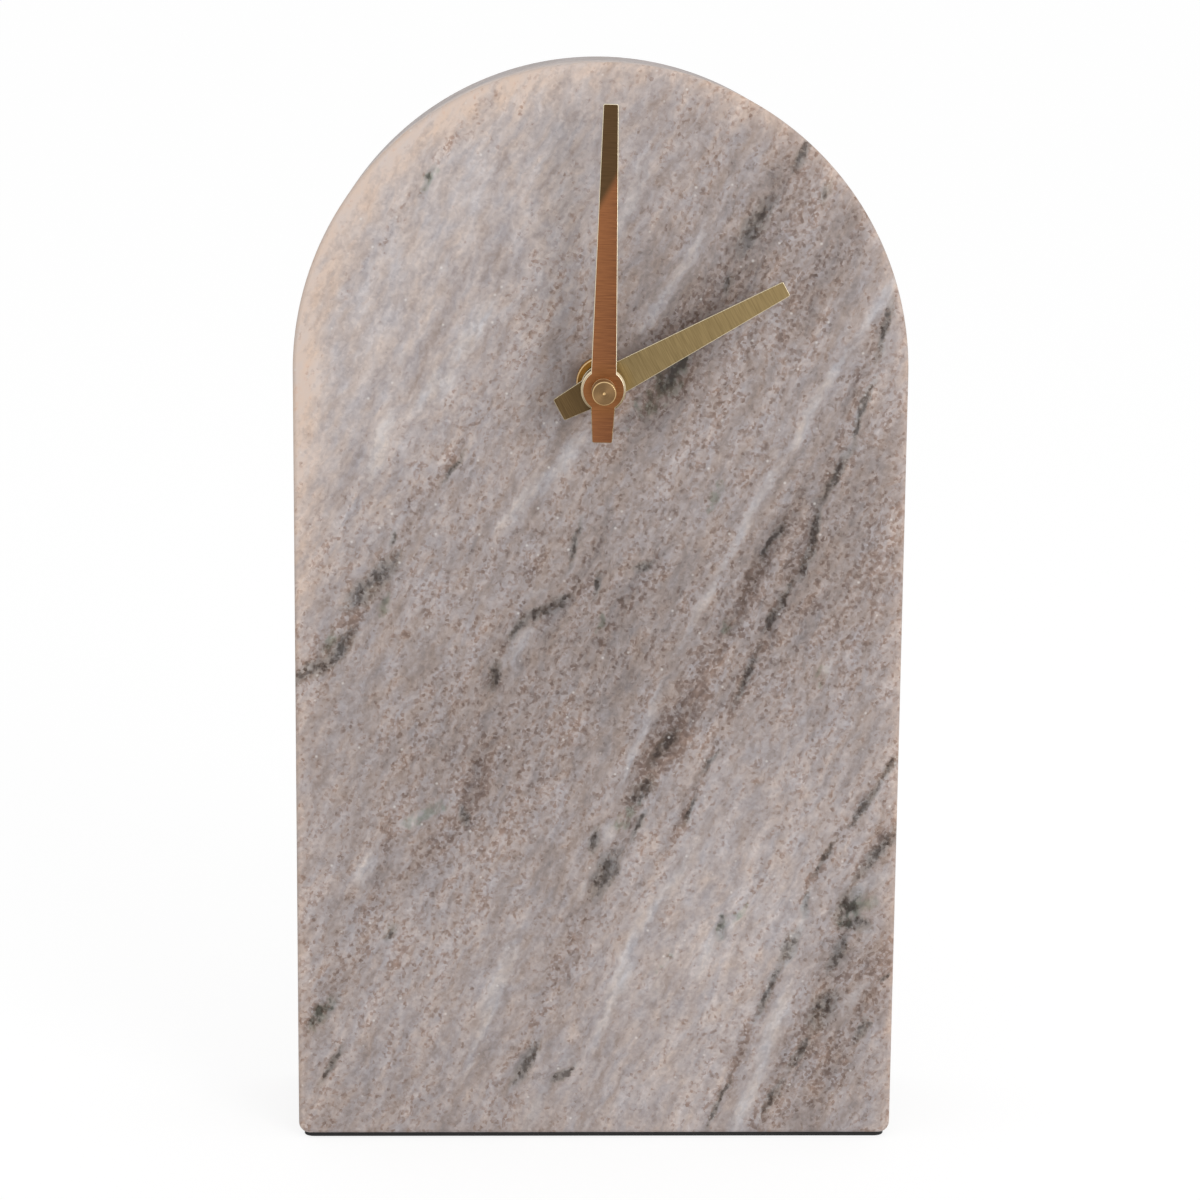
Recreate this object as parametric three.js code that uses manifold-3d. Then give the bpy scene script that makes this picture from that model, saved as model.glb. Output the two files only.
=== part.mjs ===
// Marble table clock: an arched stone slab that stands on a thin black pad, with a battery
// quartz movement set into a recess in its back and two brass hands in front.
// Millimetres, +Z up. The clock faces -Y, and the origin is the centre of the face that it
// stands on. Depths inside the movement are counted backwards from its front wall.

import * as THREE from 'three';
import { mergeVertices } from 'three/addons/utils/BufferGeometryUtils.js';
import Module from 'manifold-3d';

const wasm = await Module();
wasm.setup();

// Slab and pad
const slabWidth = 120;
const slabHeight = 215;
const slabDepth = 40;
const slabEdge = 0.8; // eased edge round the front and back faces
const padThickness = 1;
const padInset = 1; // how far the pad stops inside the slab's edges
const shaftDrop = 1.3; // shaft below the centre of the arch

// Recess in the back, and the hole for the threaded bushing
const frontWall = 10; // stone left in front of the recess
const recessRoom = 3; // free space round the movement
const recessCorner = 6;
const bushingHoleRoom = 0.55; // radial room between stone and bushing

// Clearances
const fitGap = 0.3; // between pieces that are pushed or screwed together
const runningGap = 0.15; // between a pivot and its bearing
const restGap = 0.1; // between round pieces that touch
const cutPast = 1; // how far a cut runs past the surface that it opens

// Movement case: its inside is as large as the cell, the train and the coil need
const caseFloor = 1.2; // front wall
const caseWall = 1.4;
const caseCorner = 3;
const coverThickness = 1.2;
const coverLip = 0.8;
const coverLipDepth = 1.2;
const partitionThickness = 1; // between the train and the cell
const trainClearance = 0.4; // between a turning wheel and what stands still
const coverClearance = 0.4; // between the train and the rear cover
const coilHeadroom = 0.7; // over the coil

// Bushing, nut, washer and gasket
const bushingWall = 0.85;
const bushingFlangeWidth = 1.05;
const bushingFlangeThickness = 0.8;
const bushingProud = 0.4; // past the nut
const washerInset = 0.3; // how far the washer stops inside the nut's edge
const washerThickness = 0.4;
const nutOverlap = 0.8; // how far the nut reaches past the hole in the stone
const nutThickness = 2.6;
const nutChamfer = 0.35;
const gasketRadius = 9;
const gasketThickness = 1;

// Hands: reach is shaft to tip, widths are across the blade
const handThickness = 0.5;
const hourHand = { reach: 39.9, tail: 9.6, tipWidth: 3.08, hubWidth: 6.4, tailWidth: 4.6, bossRadius: 4.2 };
const minuteHand = { reach: 54, tail: 10.1, tipWidth: 2.86, hubWidth: 5, tailWidth: 3.83, bossRadius: 4 };
const hourAngle = 61.5; // degrees clockwise from twelve
const minuteAngle = 1;
const hourHandProud = 8.6; // back of the blade in front of the stone
const handSpacing = 5.6; // hour blade to minute blade
const hourBushWall = 1.3;
const hourBushLength = 2.2;
const minuteBushRadius = 4.3;
const minuteBushLength = 1.8;
const capRadius = 2.3;
const capLength = 5;
const capChamfer = 0.25;
const capGap = 0.1;
const capTop = 1.2; // metal over the shaft's end

// Shafts, from the inside out: minute arbor, hour tube, bushing
const minuteArborRadius = 1.5;
const minuteThreadRadius = 1.15;
const hourTubeWall = 0.6;
const hourTubeProud = 0.3; // past the hour hand
const pivotRadius = 0.4;

// Gears: a wheel and the pinion that it meshes with share one layer
const wheelThickness = 0.6;
const pinionThickness = 1.1;
const layerGap = 0.3;
const flangeGap = 0.4; // bushing flange to the hour wheel
const toothHead = 0.8; // tip above the pitch circle, in modules
const toothFoot = 1.2; // root below the pitch circle, in modules
const toothTipShare = 0.1; // half width of a tooth's tip, as a share of the pitch
const toothRootShare = 0.28;
const cannonCover = 0.1; // brass left under the cannon pinion's teeth
const teeth = {
  rotor: 6, intermediateWheel: 45, intermediatePinion: 12, secondsWheel: 48, secondsPinion: 6,
  thirdWheel: 45, thirdPinion: 6, centreWheel: 48, cannonPinion: 12, reversingWheel: 36,
  reversingPinion: 10, hourWheel: 40, settingPinion: 12,
};

// Directions between axles, in degrees counted anticlockwise from the right, seen from the
// front; the distances follow from the sizes of the wheels
const reversingDirection = 205;
const stemDirection = 150;
const thirdDirection = -10;
const intermediateDirection = 100;
const rotorDirection = 60;

// Bearings
const bossRadius = 1.2;
const bossHeight = 1;
const pillarRadius = 1.1;
const pillarGap = 1.2; // free space beside a pillar
const sidePillarDirection = 48; // from the third wheel
const pillarPinRadius = 0.6;
const bridgeThickness = 1;
const bridgeMargin = 1.8; // bridge material round each pillar and bearing
const clutchCollarThickness = 0.3;
const clutchCollarWidth = 0.6;

// Stepping motor
const magnetRadius = 3;
const magnetThickness = 1.8;
const magnetGap = 0.5; // air gap between magnet and stator
const statorThickness = 1;
const statorLength = 26;
const statorWeb = 1; // iron left above and below the magnet's hole
const statorLegWidth = 3;
const statorClearance = 0.8; // stator's edge to the intermediate wheel's arbor
const coilClearance = 0.6; // stator's edge to the coil
const coilEndGap = 0.7; // coil to the motor's posts
const coilFlangeRadius = 3.3;
const coilFlangeThickness = 0.8;
const coilWindingRadius = 3.1;
const coilTubeRadius = 2;
const coilTubeWall = 0.4;
const coreWidth = 2.4;
const motorPostRadius = 1.6;
const motorScrewRadius = 0.7;
const motorScrewHead = 1.4;
const motorScrewHeadThickness = 0.7;
const motorScrewLength = 4.2;

// Circuit board
const boardHeight = 29;
const boardThickness = 1;
const boardDepth = 5; // front of the board
const boardAbovePartition = 1.4;
const boardPillarRadius = 1.2;
const boardPillarInset = 3.2; // pillar's middle from the board's edges
const crystalGap = 2; // chip to crystal
const chipRadius = 2.6;
const chipHeight = 1;
const chipDome = [[0.86, 0.55], [0.5, 0.9]]; // points on the drop, as shares of radius and height
const crystalRadius = 1;
const crystalLength = 6;

// Battery cell and its contacts
const cellRadius = 7.1;
const cellLength = 49.3; // without the nub
const cellNubRadius = 2.7;
const cellNubLength = 1.2;
const cellEdge = 0.5;
const cellRoom = 0.3; // cell to the walls of its bay
const contactThickness = 0.4;
const contactWidth = 4;
const contactRise = 6; // past the partition, to the board
const contactBulge = 1.2; // spring of the negative contact towards the cell
const contactBulgeSpan = 8;
const contactWallGap = 0.2;
const springGap = 0.2; // cell to the negative contact's spring

// Setting stem and knob
const stemRadius = 1.5;
const knobRadius = 5.5;
const knobHeight = 4;
const knobGap = 0.4; // cover to knob
const knobRibs = 24;
const knobRibHeight = 0.35;

// Facets of one full turn, by the size of what is turned
const facets = { large: 48, medium: 24, small: 20, tiny: 12 };

// Materials
const finish = (color, roughness, metalness) => (
  new THREE.MeshStandardMaterial({ color, roughness, metalness })
);
const marble = finish('#b9aca3', 0.45, 0);
const blackRubber = finish('#1b1a1a', 0.85, 0);
const brushedBrass = finish('#a9854c', 0.35, 1);
const turnedBrass = finish('#b58a45', 0.22, 1);
const blackPlastic = finish('#1c1c1e', 0.5, 0);
const whitePlastic = finish('#e4e2da', 0.45, 0);
const redPlastic = finish('#8e2f2a', 0.45, 0);
const nickel = finish('#b9b7b0', 0.3, 1);
const softIron = finish('#8d8c88', 0.4, 1);
const magnetBlack = finish('#2b2a2c', 0.55, 0.3);
const copper = finish('#a85a34', 0.35, 1);
const boardGreen = finish('#2f6a45', 0.55, 0);
const epoxyBlack = finish('#141414', 0.3, 0);
const cellJacket = finish('#3f6f5c', 0.35, 0.2);

// Shafts and what stands in front of the stone, worked out from the sizes above
const hourTubeBore = minuteArborRadius + fitGap;
const hourTubeRadius = hourTubeBore + hourTubeWall;
const bushingBore = hourTubeRadius + fitGap;
const bushingRadius = bushingBore + bushingWall;
const bushingFlange = bushingRadius + bushingFlangeWidth;
const bushingHole = bushingRadius + bushingHoleRoom;
const nutRadius = bushingHole + nutOverlap;
const washerRadius = nutRadius - washerInset;

const halfDepth = slabDepth / 2;
const archRadius = slabWidth / 2;
const archCentre = padThickness + slabHeight - archRadius;
const shaftHeight = archCentre - shaftDrop;
const stoneFront = -halfDepth;
const recessFloor = stoneFront + frontWall;
const gasketBack = recessFloor + gasketThickness;
const caseInside = gasketBack + caseFloor; // y of the inside of the case's front wall
const nutFront = stoneFront - washerThickness - nutThickness;
const bushingFront = nutFront - bushingProud;

const hourBladeBack = stoneFront - hourHandProud;
const hourBladeFront = hourBladeBack - handThickness;
const hourTubeFront = hourBladeFront - hourTubeProud;
const minuteBladeBack = hourBladeBack - handSpacing;
const minuteBladeFront = minuteBladeBack - handThickness;
const minuteShoulder = minuteBladeBack + minuteBushLength + restGap;
const capBack = minuteBladeFront - capGap;
const capFront = capBack - capLength;

// Layers of the train, as depths of their fronts behind the case's front wall
const layerStep = pinionThickness + layerGap;
const hourLayer = bushingFlangeThickness + flangeGap;
const motionLayer = hourLayer + layerStep;
const centreLayer = motionLayer + layerStep;
const thirdLayer = centreLayer + layerStep;
const secondsLayer = thirdLayer + layerStep;
const rotorLayer = secondsLayer + layerStep;
const magnetLayer = rotorLayer + layerStep;
const bridgeLayer = magnetLayer + magnetThickness + layerGap;
const bridgeBack = bridgeLayer + bridgeThickness;
const statorLayer = magnetLayer + (magnetThickness - statorThickness) / 2;
const coreLayer = statorLayer - statorThickness;
const coilBack = coreLayer + statorThickness / 2 + coilFlangeRadius;
const coverLayer = Math.max(bridgeBack, coilBack) + coverClearance;
const coverBack = coverLayer + coverThickness;

// Axles, as [x, z] from the shaft, each just far enough out for its neighbours' wheels
const polar = (distance, degrees, [x, z] = [0, 0]) => {
  const angle = THREE.MathUtils.degToRad(degrees);
  return [x + distance * Math.cos(angle), z + distance * Math.sin(angle)];
};
const moduleFor = (distance, driverTeeth, drivenTeeth) => 2 * distance / (driverTeeth + drivenTeeth);
const tipRadius = (count, module) => (count / 2 + toothHead) * module;
const motionModule = (minuteArborRadius + cannonCover) / (teeth.cannonPinion / 2 - toothFoot);
const motionDistance = motionModule * (teeth.cannonPinion + teeth.reversingWheel) / 2;
const hourModule = moduleFor(motionDistance, teeth.reversingPinion, teeth.hourWheel);
const thirdDistance = tipRadius(teeth.hourWheel, hourModule) + bossRadius + trainClearance;
const centreModule = moduleFor(thirdDistance, teeth.thirdPinion, teeth.centreWheel);
const centreTip = tipRadius(teeth.centreWheel, centreModule);
const thirdModule = moduleFor(thirdDistance, teeth.secondsPinion, teeth.thirdWheel);
const thirdTip = tipRadius(teeth.thirdWheel, thirdModule);
const reversingTip = tipRadius(teeth.reversingWheel, motionModule);
const intermediateDistance = centreTip + pivotRadius + trainClearance;
const statorHalfHeight = magnetRadius + magnetGap + statorWeb;
const rotorRise = statorHalfHeight + pivotRadius + statorClearance;
const rotorDistance = rotorRise / Math.sin(THREE.MathUtils.degToRad(rotorDirection));

const reversingAxle = polar(motionDistance, reversingDirection);
const stemAxle = polar(motionDistance, stemDirection, reversingAxle);
const thirdAxle = polar(thirdDistance, thirdDirection);
const intermediateAxle = polar(intermediateDistance, intermediateDirection);
const rotorAxle = polar(rotorDistance, rotorDirection, intermediateAxle);
const coilHeight = rotorAxle[1] + statorHalfHeight + coilClearance + coilFlangeRadius;
const motorPostOffset = (statorLength - statorLegWidth) / 2;
const motorPosts = [-motorPostOffset, motorPostOffset].map((offset) => [rotorAxle[0] + offset, coilHeight]);
const coilLength = 2 * (motorPostOffset - motorPostRadius - coilEndGap);
const lowPillarDirection = (reversingDirection + thirdDirection + 360) / 2;
const bridgePillars = [
  [rotorAxle[0] - statorLength / 2 - pillarRadius - pillarGap, (intermediateAxle[1] + rotorAxle[1]) / 2],
  polar(thirdTip + pillarRadius + pillarGap, sidePillarDirection, thirdAxle),
  polar(centreTip + pillarRadius + trainClearance, lowPillarDirection),
];

// The case round the train and the cell, from the shaft
const lowestOfTrain = Math.min(
  bridgePillars[2][1] - pillarRadius, reversingAxle[1] - reversingTip, thirdAxle[1] - thirdTip, -centreTip,
);
const partitionTop = lowestOfTrain - fitGap - contactThickness;
const partitionBottom = partitionTop - partitionThickness;
const bayBottom = partitionBottom - 2 * (cellRadius + cellRoom);
const cellHeight = (partitionBottom + bayBottom) / 2;
const cellDepth = cellRadius + cellRoom;
const contactSpace = contactWallGap + contactThickness;
const innerWidth = cellLength + cellNubLength + restGap + springGap + contactBulge + 2 * contactSpace;
const innerHalfWidth = innerWidth / 2;
const innerTop = coilHeight + coilFlangeRadius + coilHeadroom;
const caseHalfWidth = innerHalfWidth + caseWall;
const caseTop = innerTop + caseWall;
const caseBottom = bayBottom - caseWall;

const boardRight = innerHalfWidth - contactWallGap;
const boardLeft = Math.max(thirdAxle[0] + thirdTip, bridgePillars[1][0] + pillarRadius) + pillarGap;
const boardBottom = partitionTop + boardAbovePartition;
const boardTop = boardBottom + boardHeight;
const boardMiddle = (boardLeft + boardRight) / 2;
const boardBack = boardDepth + boardThickness;
const boardPillars = [
  [boardMiddle, boardBottom + boardPillarInset], [boardMiddle, boardTop - boardPillarInset],
];

/** A closed geometry with merged corners, no flat triangles and its faces pointing out. */
function closed(geometry) {
  const bare = geometry.clone();
  bare.deleteAttribute('normal');
  bare.deleteAttribute('uv');
  const merged = mergeVertices(bare, 1e-4);
  const [a, b, c] = [new THREE.Vector3(), new THREE.Vector3(), new THREE.Vector3()];
  const corners = merged.index.array;
  const kept = [];
  let volume = 0;
  for (let i = 0; i < corners.length; i += 3) {
    const [p, q, r] = corners.slice(i, i + 3);
    if (p === q || q === r || r === p) continue;
    kept.push(p, q, r);
    a.fromBufferAttribute(merged.attributes.position, p);
    b.fromBufferAttribute(merged.attributes.position, q);
    c.fromBufferAttribute(merged.attributes.position, r);
    volume += a.dot(b.cross(c));
  }
  if (volume < 0) kept.reverse();
  merged.setIndex(kept);
  return merged;
}

/** The same shape as a manifold solid, for cuts and joins. */
function toSolid(geometry) {
  const { attributes, index } = closed(geometry);
  return new wasm.Manifold(new wasm.Mesh({
    numProp: 3,
    vertProperties: new Float32Array(attributes.position.array),
    triVerts: new Uint32Array(index.array),
  }));
}

/** A manifold solid back as a geometry. */
function toGeometry(solid) {
  const { vertProperties, triVerts } = solid.getMesh();
  const geometry = new THREE.BufferGeometry();
  geometry.setAttribute('position', new THREE.BufferAttribute(vertProperties, 3));
  geometry.setIndex(new THREE.BufferAttribute(triVerts, 1));
  return geometry;
}

/** One geometry from pieces that are joined, less the pieces that are cut away. */
function joined(pieces, cuts = []) {
  let solid = pieces.map(toSolid).reduce((whole, piece) => whole.add(piece));
  for (const cut of cuts) solid = solid.subtract(toSolid(cut));
  return toGeometry(solid);
}

/** An outline seen from the front (x right, z up), as thick as the way from front to back. */
function plate(shape, front, back, turnFacets = facets.medium) {
  const geometry = new THREE.ExtrudeGeometry(shape, {
    depth: back - front, bevelEnabled: false, curveSegments: turnFacets / 2,
  });
  return geometry.rotateX(Math.PI / 2).translate(0, back, 0);
}

/** A turned piece about the Y axis from [radius, y] points that close on themselves. */
function turned(profile, turnFacets) {
  const points = profile.map(([radius, y]) => new THREE.Vector2(radius, y));
  return new THREE.LatheGeometry([...points, points[0]], turnFacets);
}

/** A plain cylinder about the Y axis. */
const rod = (radius, front, back, turnFacets) => (
  turned([[0, front], [radius, front], [radius, back], [0, back]], turnFacets)
);

/** A plain ring about the Y axis. */
const ring = (bore, radius, front, back, turnFacets) => (
  turned([[bore, front], [radius, front], [radius, back], [bore, back]], turnFacets)
);

/** The same geometry moved to an axle. */
const at = (geometry, [x, z]) => geometry.clone().translate(x, 0, z);

/** A rectangle with round corners, as a shape. */
function rectangle(left, bottom, right, top, corner = 0) {
  const shape = new THREE.Shape();
  if (corner === 0) {
    return shape.moveTo(left, bottom).lineTo(right, bottom).lineTo(right, top).lineTo(left, top);
  }
  shape.absarc(right - corner, bottom + corner, corner, -Math.PI / 2, 0);
  shape.absarc(right - corner, top - corner, corner, 0, Math.PI / 2);
  shape.absarc(left + corner, top - corner, corner, Math.PI / 2, Math.PI);
  shape.absarc(left + corner, bottom + corner, corner, Math.PI, 1.5 * Math.PI);
  return shape;
}

/** A box as a plate: left, bottom, right and top seen from the front. */
const block = (left, bottom, right, top, front, back) => (
  plate(rectangle(left, bottom, right, top), front, back)
);

/** Outline of a toothed wheel about the origin, with one tooth centred on an angle. */
function toothedShape(count, module, phase) {
  const pitchRadius = count * module / 2;
  const tip = pitchRadius + toothHead * module;
  const root = pitchRadius - toothFoot * module;
  const pitch = 2 * Math.PI / count;
  const flanks = [
    [root, -toothRootShare], [tip, -toothTipShare], [tip, toothTipShare], [root, toothRootShare],
  ];
  const points = [];
  for (let i = 0; i < count; i += 1) {
    for (const [radius, share] of flanks) {
      const angle = phase + (i + share) * pitch;
      points.push(new THREE.Vector2(radius * Math.cos(angle), radius * Math.sin(angle)));
    }
  }
  return new THREE.Shape(points);
}

/** Two meshing gears: the module, and the driven gear's phase for the driver's phase. */
function mesh(driverAxle, drivenAxle, driverTeeth, drivenTeeth, driverPhase) {
  const across = drivenAxle[0] - driverAxle[0];
  const up = drivenAxle[1] - driverAxle[1];
  const direction = Math.atan2(up, across);
  const module = 2 * Math.hypot(across, up) / (driverTeeth + drivenTeeth);
  const offset = (driverPhase - direction) * driverTeeth / drivenTeeth;
  return { module, phase: direction + Math.PI + Math.PI / drivenTeeth - offset };
}

/** Depth in the clock's own y of a depth behind the case's front wall. */
const depth = (behindWall) => caseInside + behindWall;

/** A wheel in a layer of the train. */
function wheelAt(layer, count, module, phase) {
  const front = depth(layer) + (pinionThickness - wheelThickness) / 2;
  return plate(toothedShape(count, module, phase), front, front + wheelThickness);
}

/** A pinion that fills its layer of the train. */
const pinionAt = (layer, count, module, phase) => (
  plate(toothedShape(count, module, phase), depth(layer), depth(layer) + pinionThickness)
);

const clock = new THREE.Group();

/** Adds one named piece to a group, on its axle. */
function add(group, name, geometry, material, [x, z] = [0, 0]) {
  const piece = new THREE.Mesh(closed(geometry), material);
  piece.name = name;
  piece.position.set(x, 0, z);
  group.add(piece);
}

/** The stone slab with its recess and hole, and the pad under it. */
function addStand() {
  const outline = new THREE.Shape();
  outline.moveTo(-archRadius, padThickness).lineTo(archRadius, padThickness);
  outline.absarc(0, archCentre, archRadius, 0, Math.PI);
  const slab = new THREE.ExtrudeGeometry(outline, {
    depth: slabDepth - 2 * slabEdge, curveSegments: facets.large / 2, bevelSegments: 1,
    bevelThickness: slabEdge, bevelSize: slabEdge, bevelOffset: -slabEdge,
  });
  slab.rotateX(Math.PI / 2).translate(0, halfDepth - slabEdge, 0);
  const recessHalfWidth = caseHalfWidth + recessRoom;
  const recessBottom = shaftHeight + caseBottom - recessRoom;
  const recessTop = shaftHeight + caseTop + recessRoom;
  const recess = plate(
    rectangle(-recessHalfWidth, recessBottom, recessHalfWidth, recessTop, recessCorner),
    recessFloor, slabDepth, facets.small,
  );
  const hole = at(rod(bushingHole, -slabDepth, slabDepth, facets.medium), [0, shaftHeight]);
  add(clock, 'marble_slab', joined([slab], [recess, hole]), marble);

  const padHalfWidth = archRadius - padInset;
  const pad = new THREE.BoxGeometry(2 * padHalfWidth, slabDepth - 2 * padInset, padThickness);
  add(clock, 'base_pad', pad.translate(0, 0, padThickness / 2), blackRubber);
}

/** What fixes the movement to the stone: bushing, gasket, washer and nut. */
function addFixing(shaft) {
  const bushing = turned([
    [bushingBore, bushingFront], [bushingRadius, bushingFront], [bushingRadius, depth(0)],
    [bushingFlange, depth(0)], [bushingFlange, depth(bushingFlangeThickness)],
    [bushingBore, depth(bushingFlangeThickness)],
  ], facets.medium);
  const boreRadius = bushingRadius + fitGap;
  const washerFront = stoneFront - washerThickness;
  const nut = turned([
    [boreRadius, washerFront], [nutRadius - nutChamfer, washerFront],
    [nutRadius, washerFront - nutChamfer], [nutRadius, nutFront + nutChamfer],
    [nutRadius - nutChamfer, nutFront], [boreRadius, nutFront],
  ], facets.large);
  const gasket = ring(boreRadius, gasketRadius, recessFloor, gasketBack, facets.medium);
  const washer = ring(boreRadius, washerRadius, washerFront, stoneFront, facets.medium);
  add(shaft, 'threaded_bushing', bushing, nickel);
  add(shaft, 'rubber_gasket', gasket, blackRubber);
  add(shaft, 'nut_washer', washer, turnedBrass);
  add(shaft, 'fixing_nut', nut, turnedBrass);
}

/** The movement's moulded case: front tray with its bearings and posts, and the rear cover. */
function addCase(shaft) {
  const outer = rectangle(-caseHalfWidth, caseBottom, caseHalfWidth, caseTop, caseCorner);
  const tray = plate(outer, gasketBack, depth(coverLayer), facets.small);
  const bayTop = partitionBottom - fitGap;
  const bayRim = plate(outer, depth(coverLayer) - restGap, depth(coverBack), facets.small);
  const past = depth(coverBack) + cutPast;
  const pastSide = caseHalfWidth + cutPast;
  const aboveBay = block(-pastSide, bayTop, pastSide, caseTop + cutPast, depth(coverLayer), past);
  const trainSpace = block(-innerHalfWidth, partitionTop, innerHalfWidth, innerTop, depth(0), past);
  const bay = block(-innerHalfWidth, bayBottom, innerHalfWidth, partitionBottom, depth(0), past);
  const slotWidth = contactSpace + contactWallGap;
  const [slotBottom, slotTop] = [partitionBottom - cutPast, partitionTop + cutPast];
  const slots = [-innerHalfWidth, innerHalfWidth - slotWidth].map((left) => (
    block(left, slotBottom, left + slotWidth, slotTop, depth(boardBack) - cutPast, past)
  ));
  const bearings = [rotorAxle, intermediateAxle, thirdAxle, stemAxle];
  const sunk = depth(0) - caseFloor / 2; // foot of a boss inside the front wall
  const post = (radius, back, axle) => at(rod(radius, sunk, depth(back), facets.tiny), axle);
  const posts = [
    ...bearings.map((axle) => post(bossRadius, bossHeight, axle)),
    ...bridgePillars.map((axle) => post(pillarRadius, bridgeLayer, axle)),
    ...bridgePillars.map((axle) => post(pillarPinRadius, bridgeBack, axle)),
    ...motorPosts.map((axle) => post(motorPostRadius, coreLayer, axle)),
    ...boardPillars.map((axle) => post(boardPillarRadius, boardDepth, axle)),
    post(pivotRadius, motionLayer + pinionThickness, reversingAxle),
  ];
  const bearingBore = rod(pivotRadius + runningGap, depth(0), depth(bossHeight) + cutPast, facets.tiny);
  const screwBore = rod(
    motorScrewRadius + runningGap, depth(statorLayer + statorThickness - motorScrewLength) - fitGap,
    depth(coreLayer) + cutPast, facets.tiny,
  );
  const cuts = [
    aboveBay, trainSpace, bay, ...slots,
    rod(bushingRadius + fitGap, gasketBack - cutPast, depth(0) + cutPast, facets.medium),
  ];
  const shell = joined([tray, bayRim], cuts);
  const bores = [
    ...bearings.map((axle) => at(bearingBore, axle)), ...motorPosts.map((axle) => at(screwBore, axle)),
  ];
  add(shaft, 'movement_front_case', joined([shell, ...posts], bores), blackPlastic);

  const lipOuter = innerHalfWidth - fitGap;
  const lipInner = lipOuter - coverLip;
  const lipTop = innerTop - fitGap;
  const lipSpan = [depth(coverLayer - coverLipDepth), depth(coverLayer) + coverThickness / 2];
  const [sideBottom, sideTop] = [partitionTop + contactRise, lipTop - caseCorner];
  const lips = [
    block(-lipOuter, sideBottom, -lipInner, sideTop, ...lipSpan),
    block(lipInner, sideBottom, lipOuter, sideTop, ...lipSpan),
    block(caseCorner - lipOuter, lipTop - coverLip, lipOuter - caseCorner, lipTop, ...lipSpan),
  ];
  const cover = plate(outer, depth(coverLayer), depth(coverBack), facets.small);
  const belowCover = block(-pastSide, caseBottom - cutPast, pastSide, partitionBottom, depth(0), past);
  const stemHole = at(rod(stemRadius + fitGap, depth(0), past, facets.small), stemAxle);
  add(shaft, 'movement_rear_cover', joined([cover, ...lips], [belowCover, stemHole]), blackPlastic);
}

/** The bridge that holds the train's rear pivots, on the pins of three pillars. */
function addBridge(shaft) {
  const pivots = [rotorAxle, intermediateAxle, [0, 0], thirdAxle];
  const disc = rod(bridgeMargin, depth(bridgeLayer), depth(bridgeBack), facets.small);
  const arms = pivots.slice(1).concat(bridgePillars).map(([x, z], i) => {
    const [fromX, fromZ] = [rotorAxle, intermediateAxle, [0, 0], intermediateAxle, thirdAxle, [0, 0]][i];
    const length = Math.hypot(x - fromX, z - fromZ);
    const arm = block(0, -bridgeMargin, length, bridgeMargin, depth(bridgeLayer), depth(bridgeBack));
    return arm.rotateY(-Math.atan2(z - fromZ, x - fromX)).translate(fromX, 0, fromZ);
  });
  const hole = (radius, axle) => (
    at(rod(radius, depth(bridgeLayer) - cutPast, depth(bridgeBack) + cutPast, facets.tiny), axle)
  );
  add(shaft, 'bearing_bridge', joined(
    [...pivots.concat(bridgePillars).map((axle) => at(disc, axle)), ...arms],
    [
      ...pivots.map((axle) => hole(pivotRadius + runningGap, axle)),
      ...bridgePillars.map((axle) => hole(pillarPinRadius + runningGap, axle)),
    ],
  ), whitePlastic);
}

/** The stepping motor's fixed half: stator, core, bobbin, winding and two screws. */
function addMotor(shaft) {
  const [middle, rotorHeight] = rotorAxle;
  const [left, right] = [middle - statorLength / 2, middle + statorLength / 2];
  const [front, back] = [depth(statorLayer), depth(statorLayer + statorThickness)];
  const legTop = coilHeight + coreWidth / 2;
  const screwHoleRadius = motorScrewRadius + runningGap;
  const screwHole = rod(screwHoleRadius, depth(coreLayer) - cutPast, back + cutPast, facets.tiny);
  const screwHoles = motorPosts.map((axle) => at(screwHole, axle));
  const magnetHole = rod(magnetRadius + magnetGap, front - cutPast, back + cutPast, facets.medium);
  const stator = joined([
    block(left, rotorHeight - statorHalfHeight, right, rotorHeight + statorHalfHeight, front, back),
    block(left, rotorHeight, left + statorLegWidth, legTop, front, back),
    block(right - statorLegWidth, rotorHeight, right, legTop, front, back),
  ], [at(magnetHole, rotorAxle), ...screwHoles]);
  const core = joined(
    [block(left, coilHeight - coreWidth / 2, right, legTop, depth(coreLayer), front)], screwHoles,
  );
  add(shaft, 'motor_stator', stator, softIron);
  add(shaft, 'coil_core', core, softIron);

  const coilDepth = depth(coreLayer + statorThickness / 2);
  const along = (geometry) => geometry.rotateZ(Math.PI / 2).translate(middle, coilDepth, coilHeight);
  const half = coilLength / 2;
  const waist = half - coilFlangeThickness;
  const tubeBore = coilTubeRadius - coilTubeWall;
  const bobbin = turned([
    [tubeBore, -half], [coilFlangeRadius, -half], [coilFlangeRadius, -waist], [coilTubeRadius, -waist],
    [coilTubeRadius, waist], [coilFlangeRadius, waist], [coilFlangeRadius, half], [tubeBore, half],
  ], facets.small);
  const wireEnd = waist - restGap;
  const winding = ring(coilTubeRadius + restGap, coilWindingRadius, -wireEnd, wireEnd, facets.small);
  add(shaft, 'coil_bobbin', along(bobbin), whitePlastic);
  add(shaft, 'coil_winding', along(winding), copper);

  const tip = back - motorScrewLength;
  const screw = turned([
    [0, tip], [motorScrewRadius, tip], [motorScrewRadius, back], [motorScrewHead, back],
    [motorScrewHead, back + motorScrewHeadThickness], [0, back + motorScrewHeadThickness],
  ], facets.tiny);
  add(shaft, 'motor_screw_left', screw, nickel, motorPosts[0]);
  add(shaft, 'motor_screw_right', screw, nickel, motorPosts[1]);
}

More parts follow.
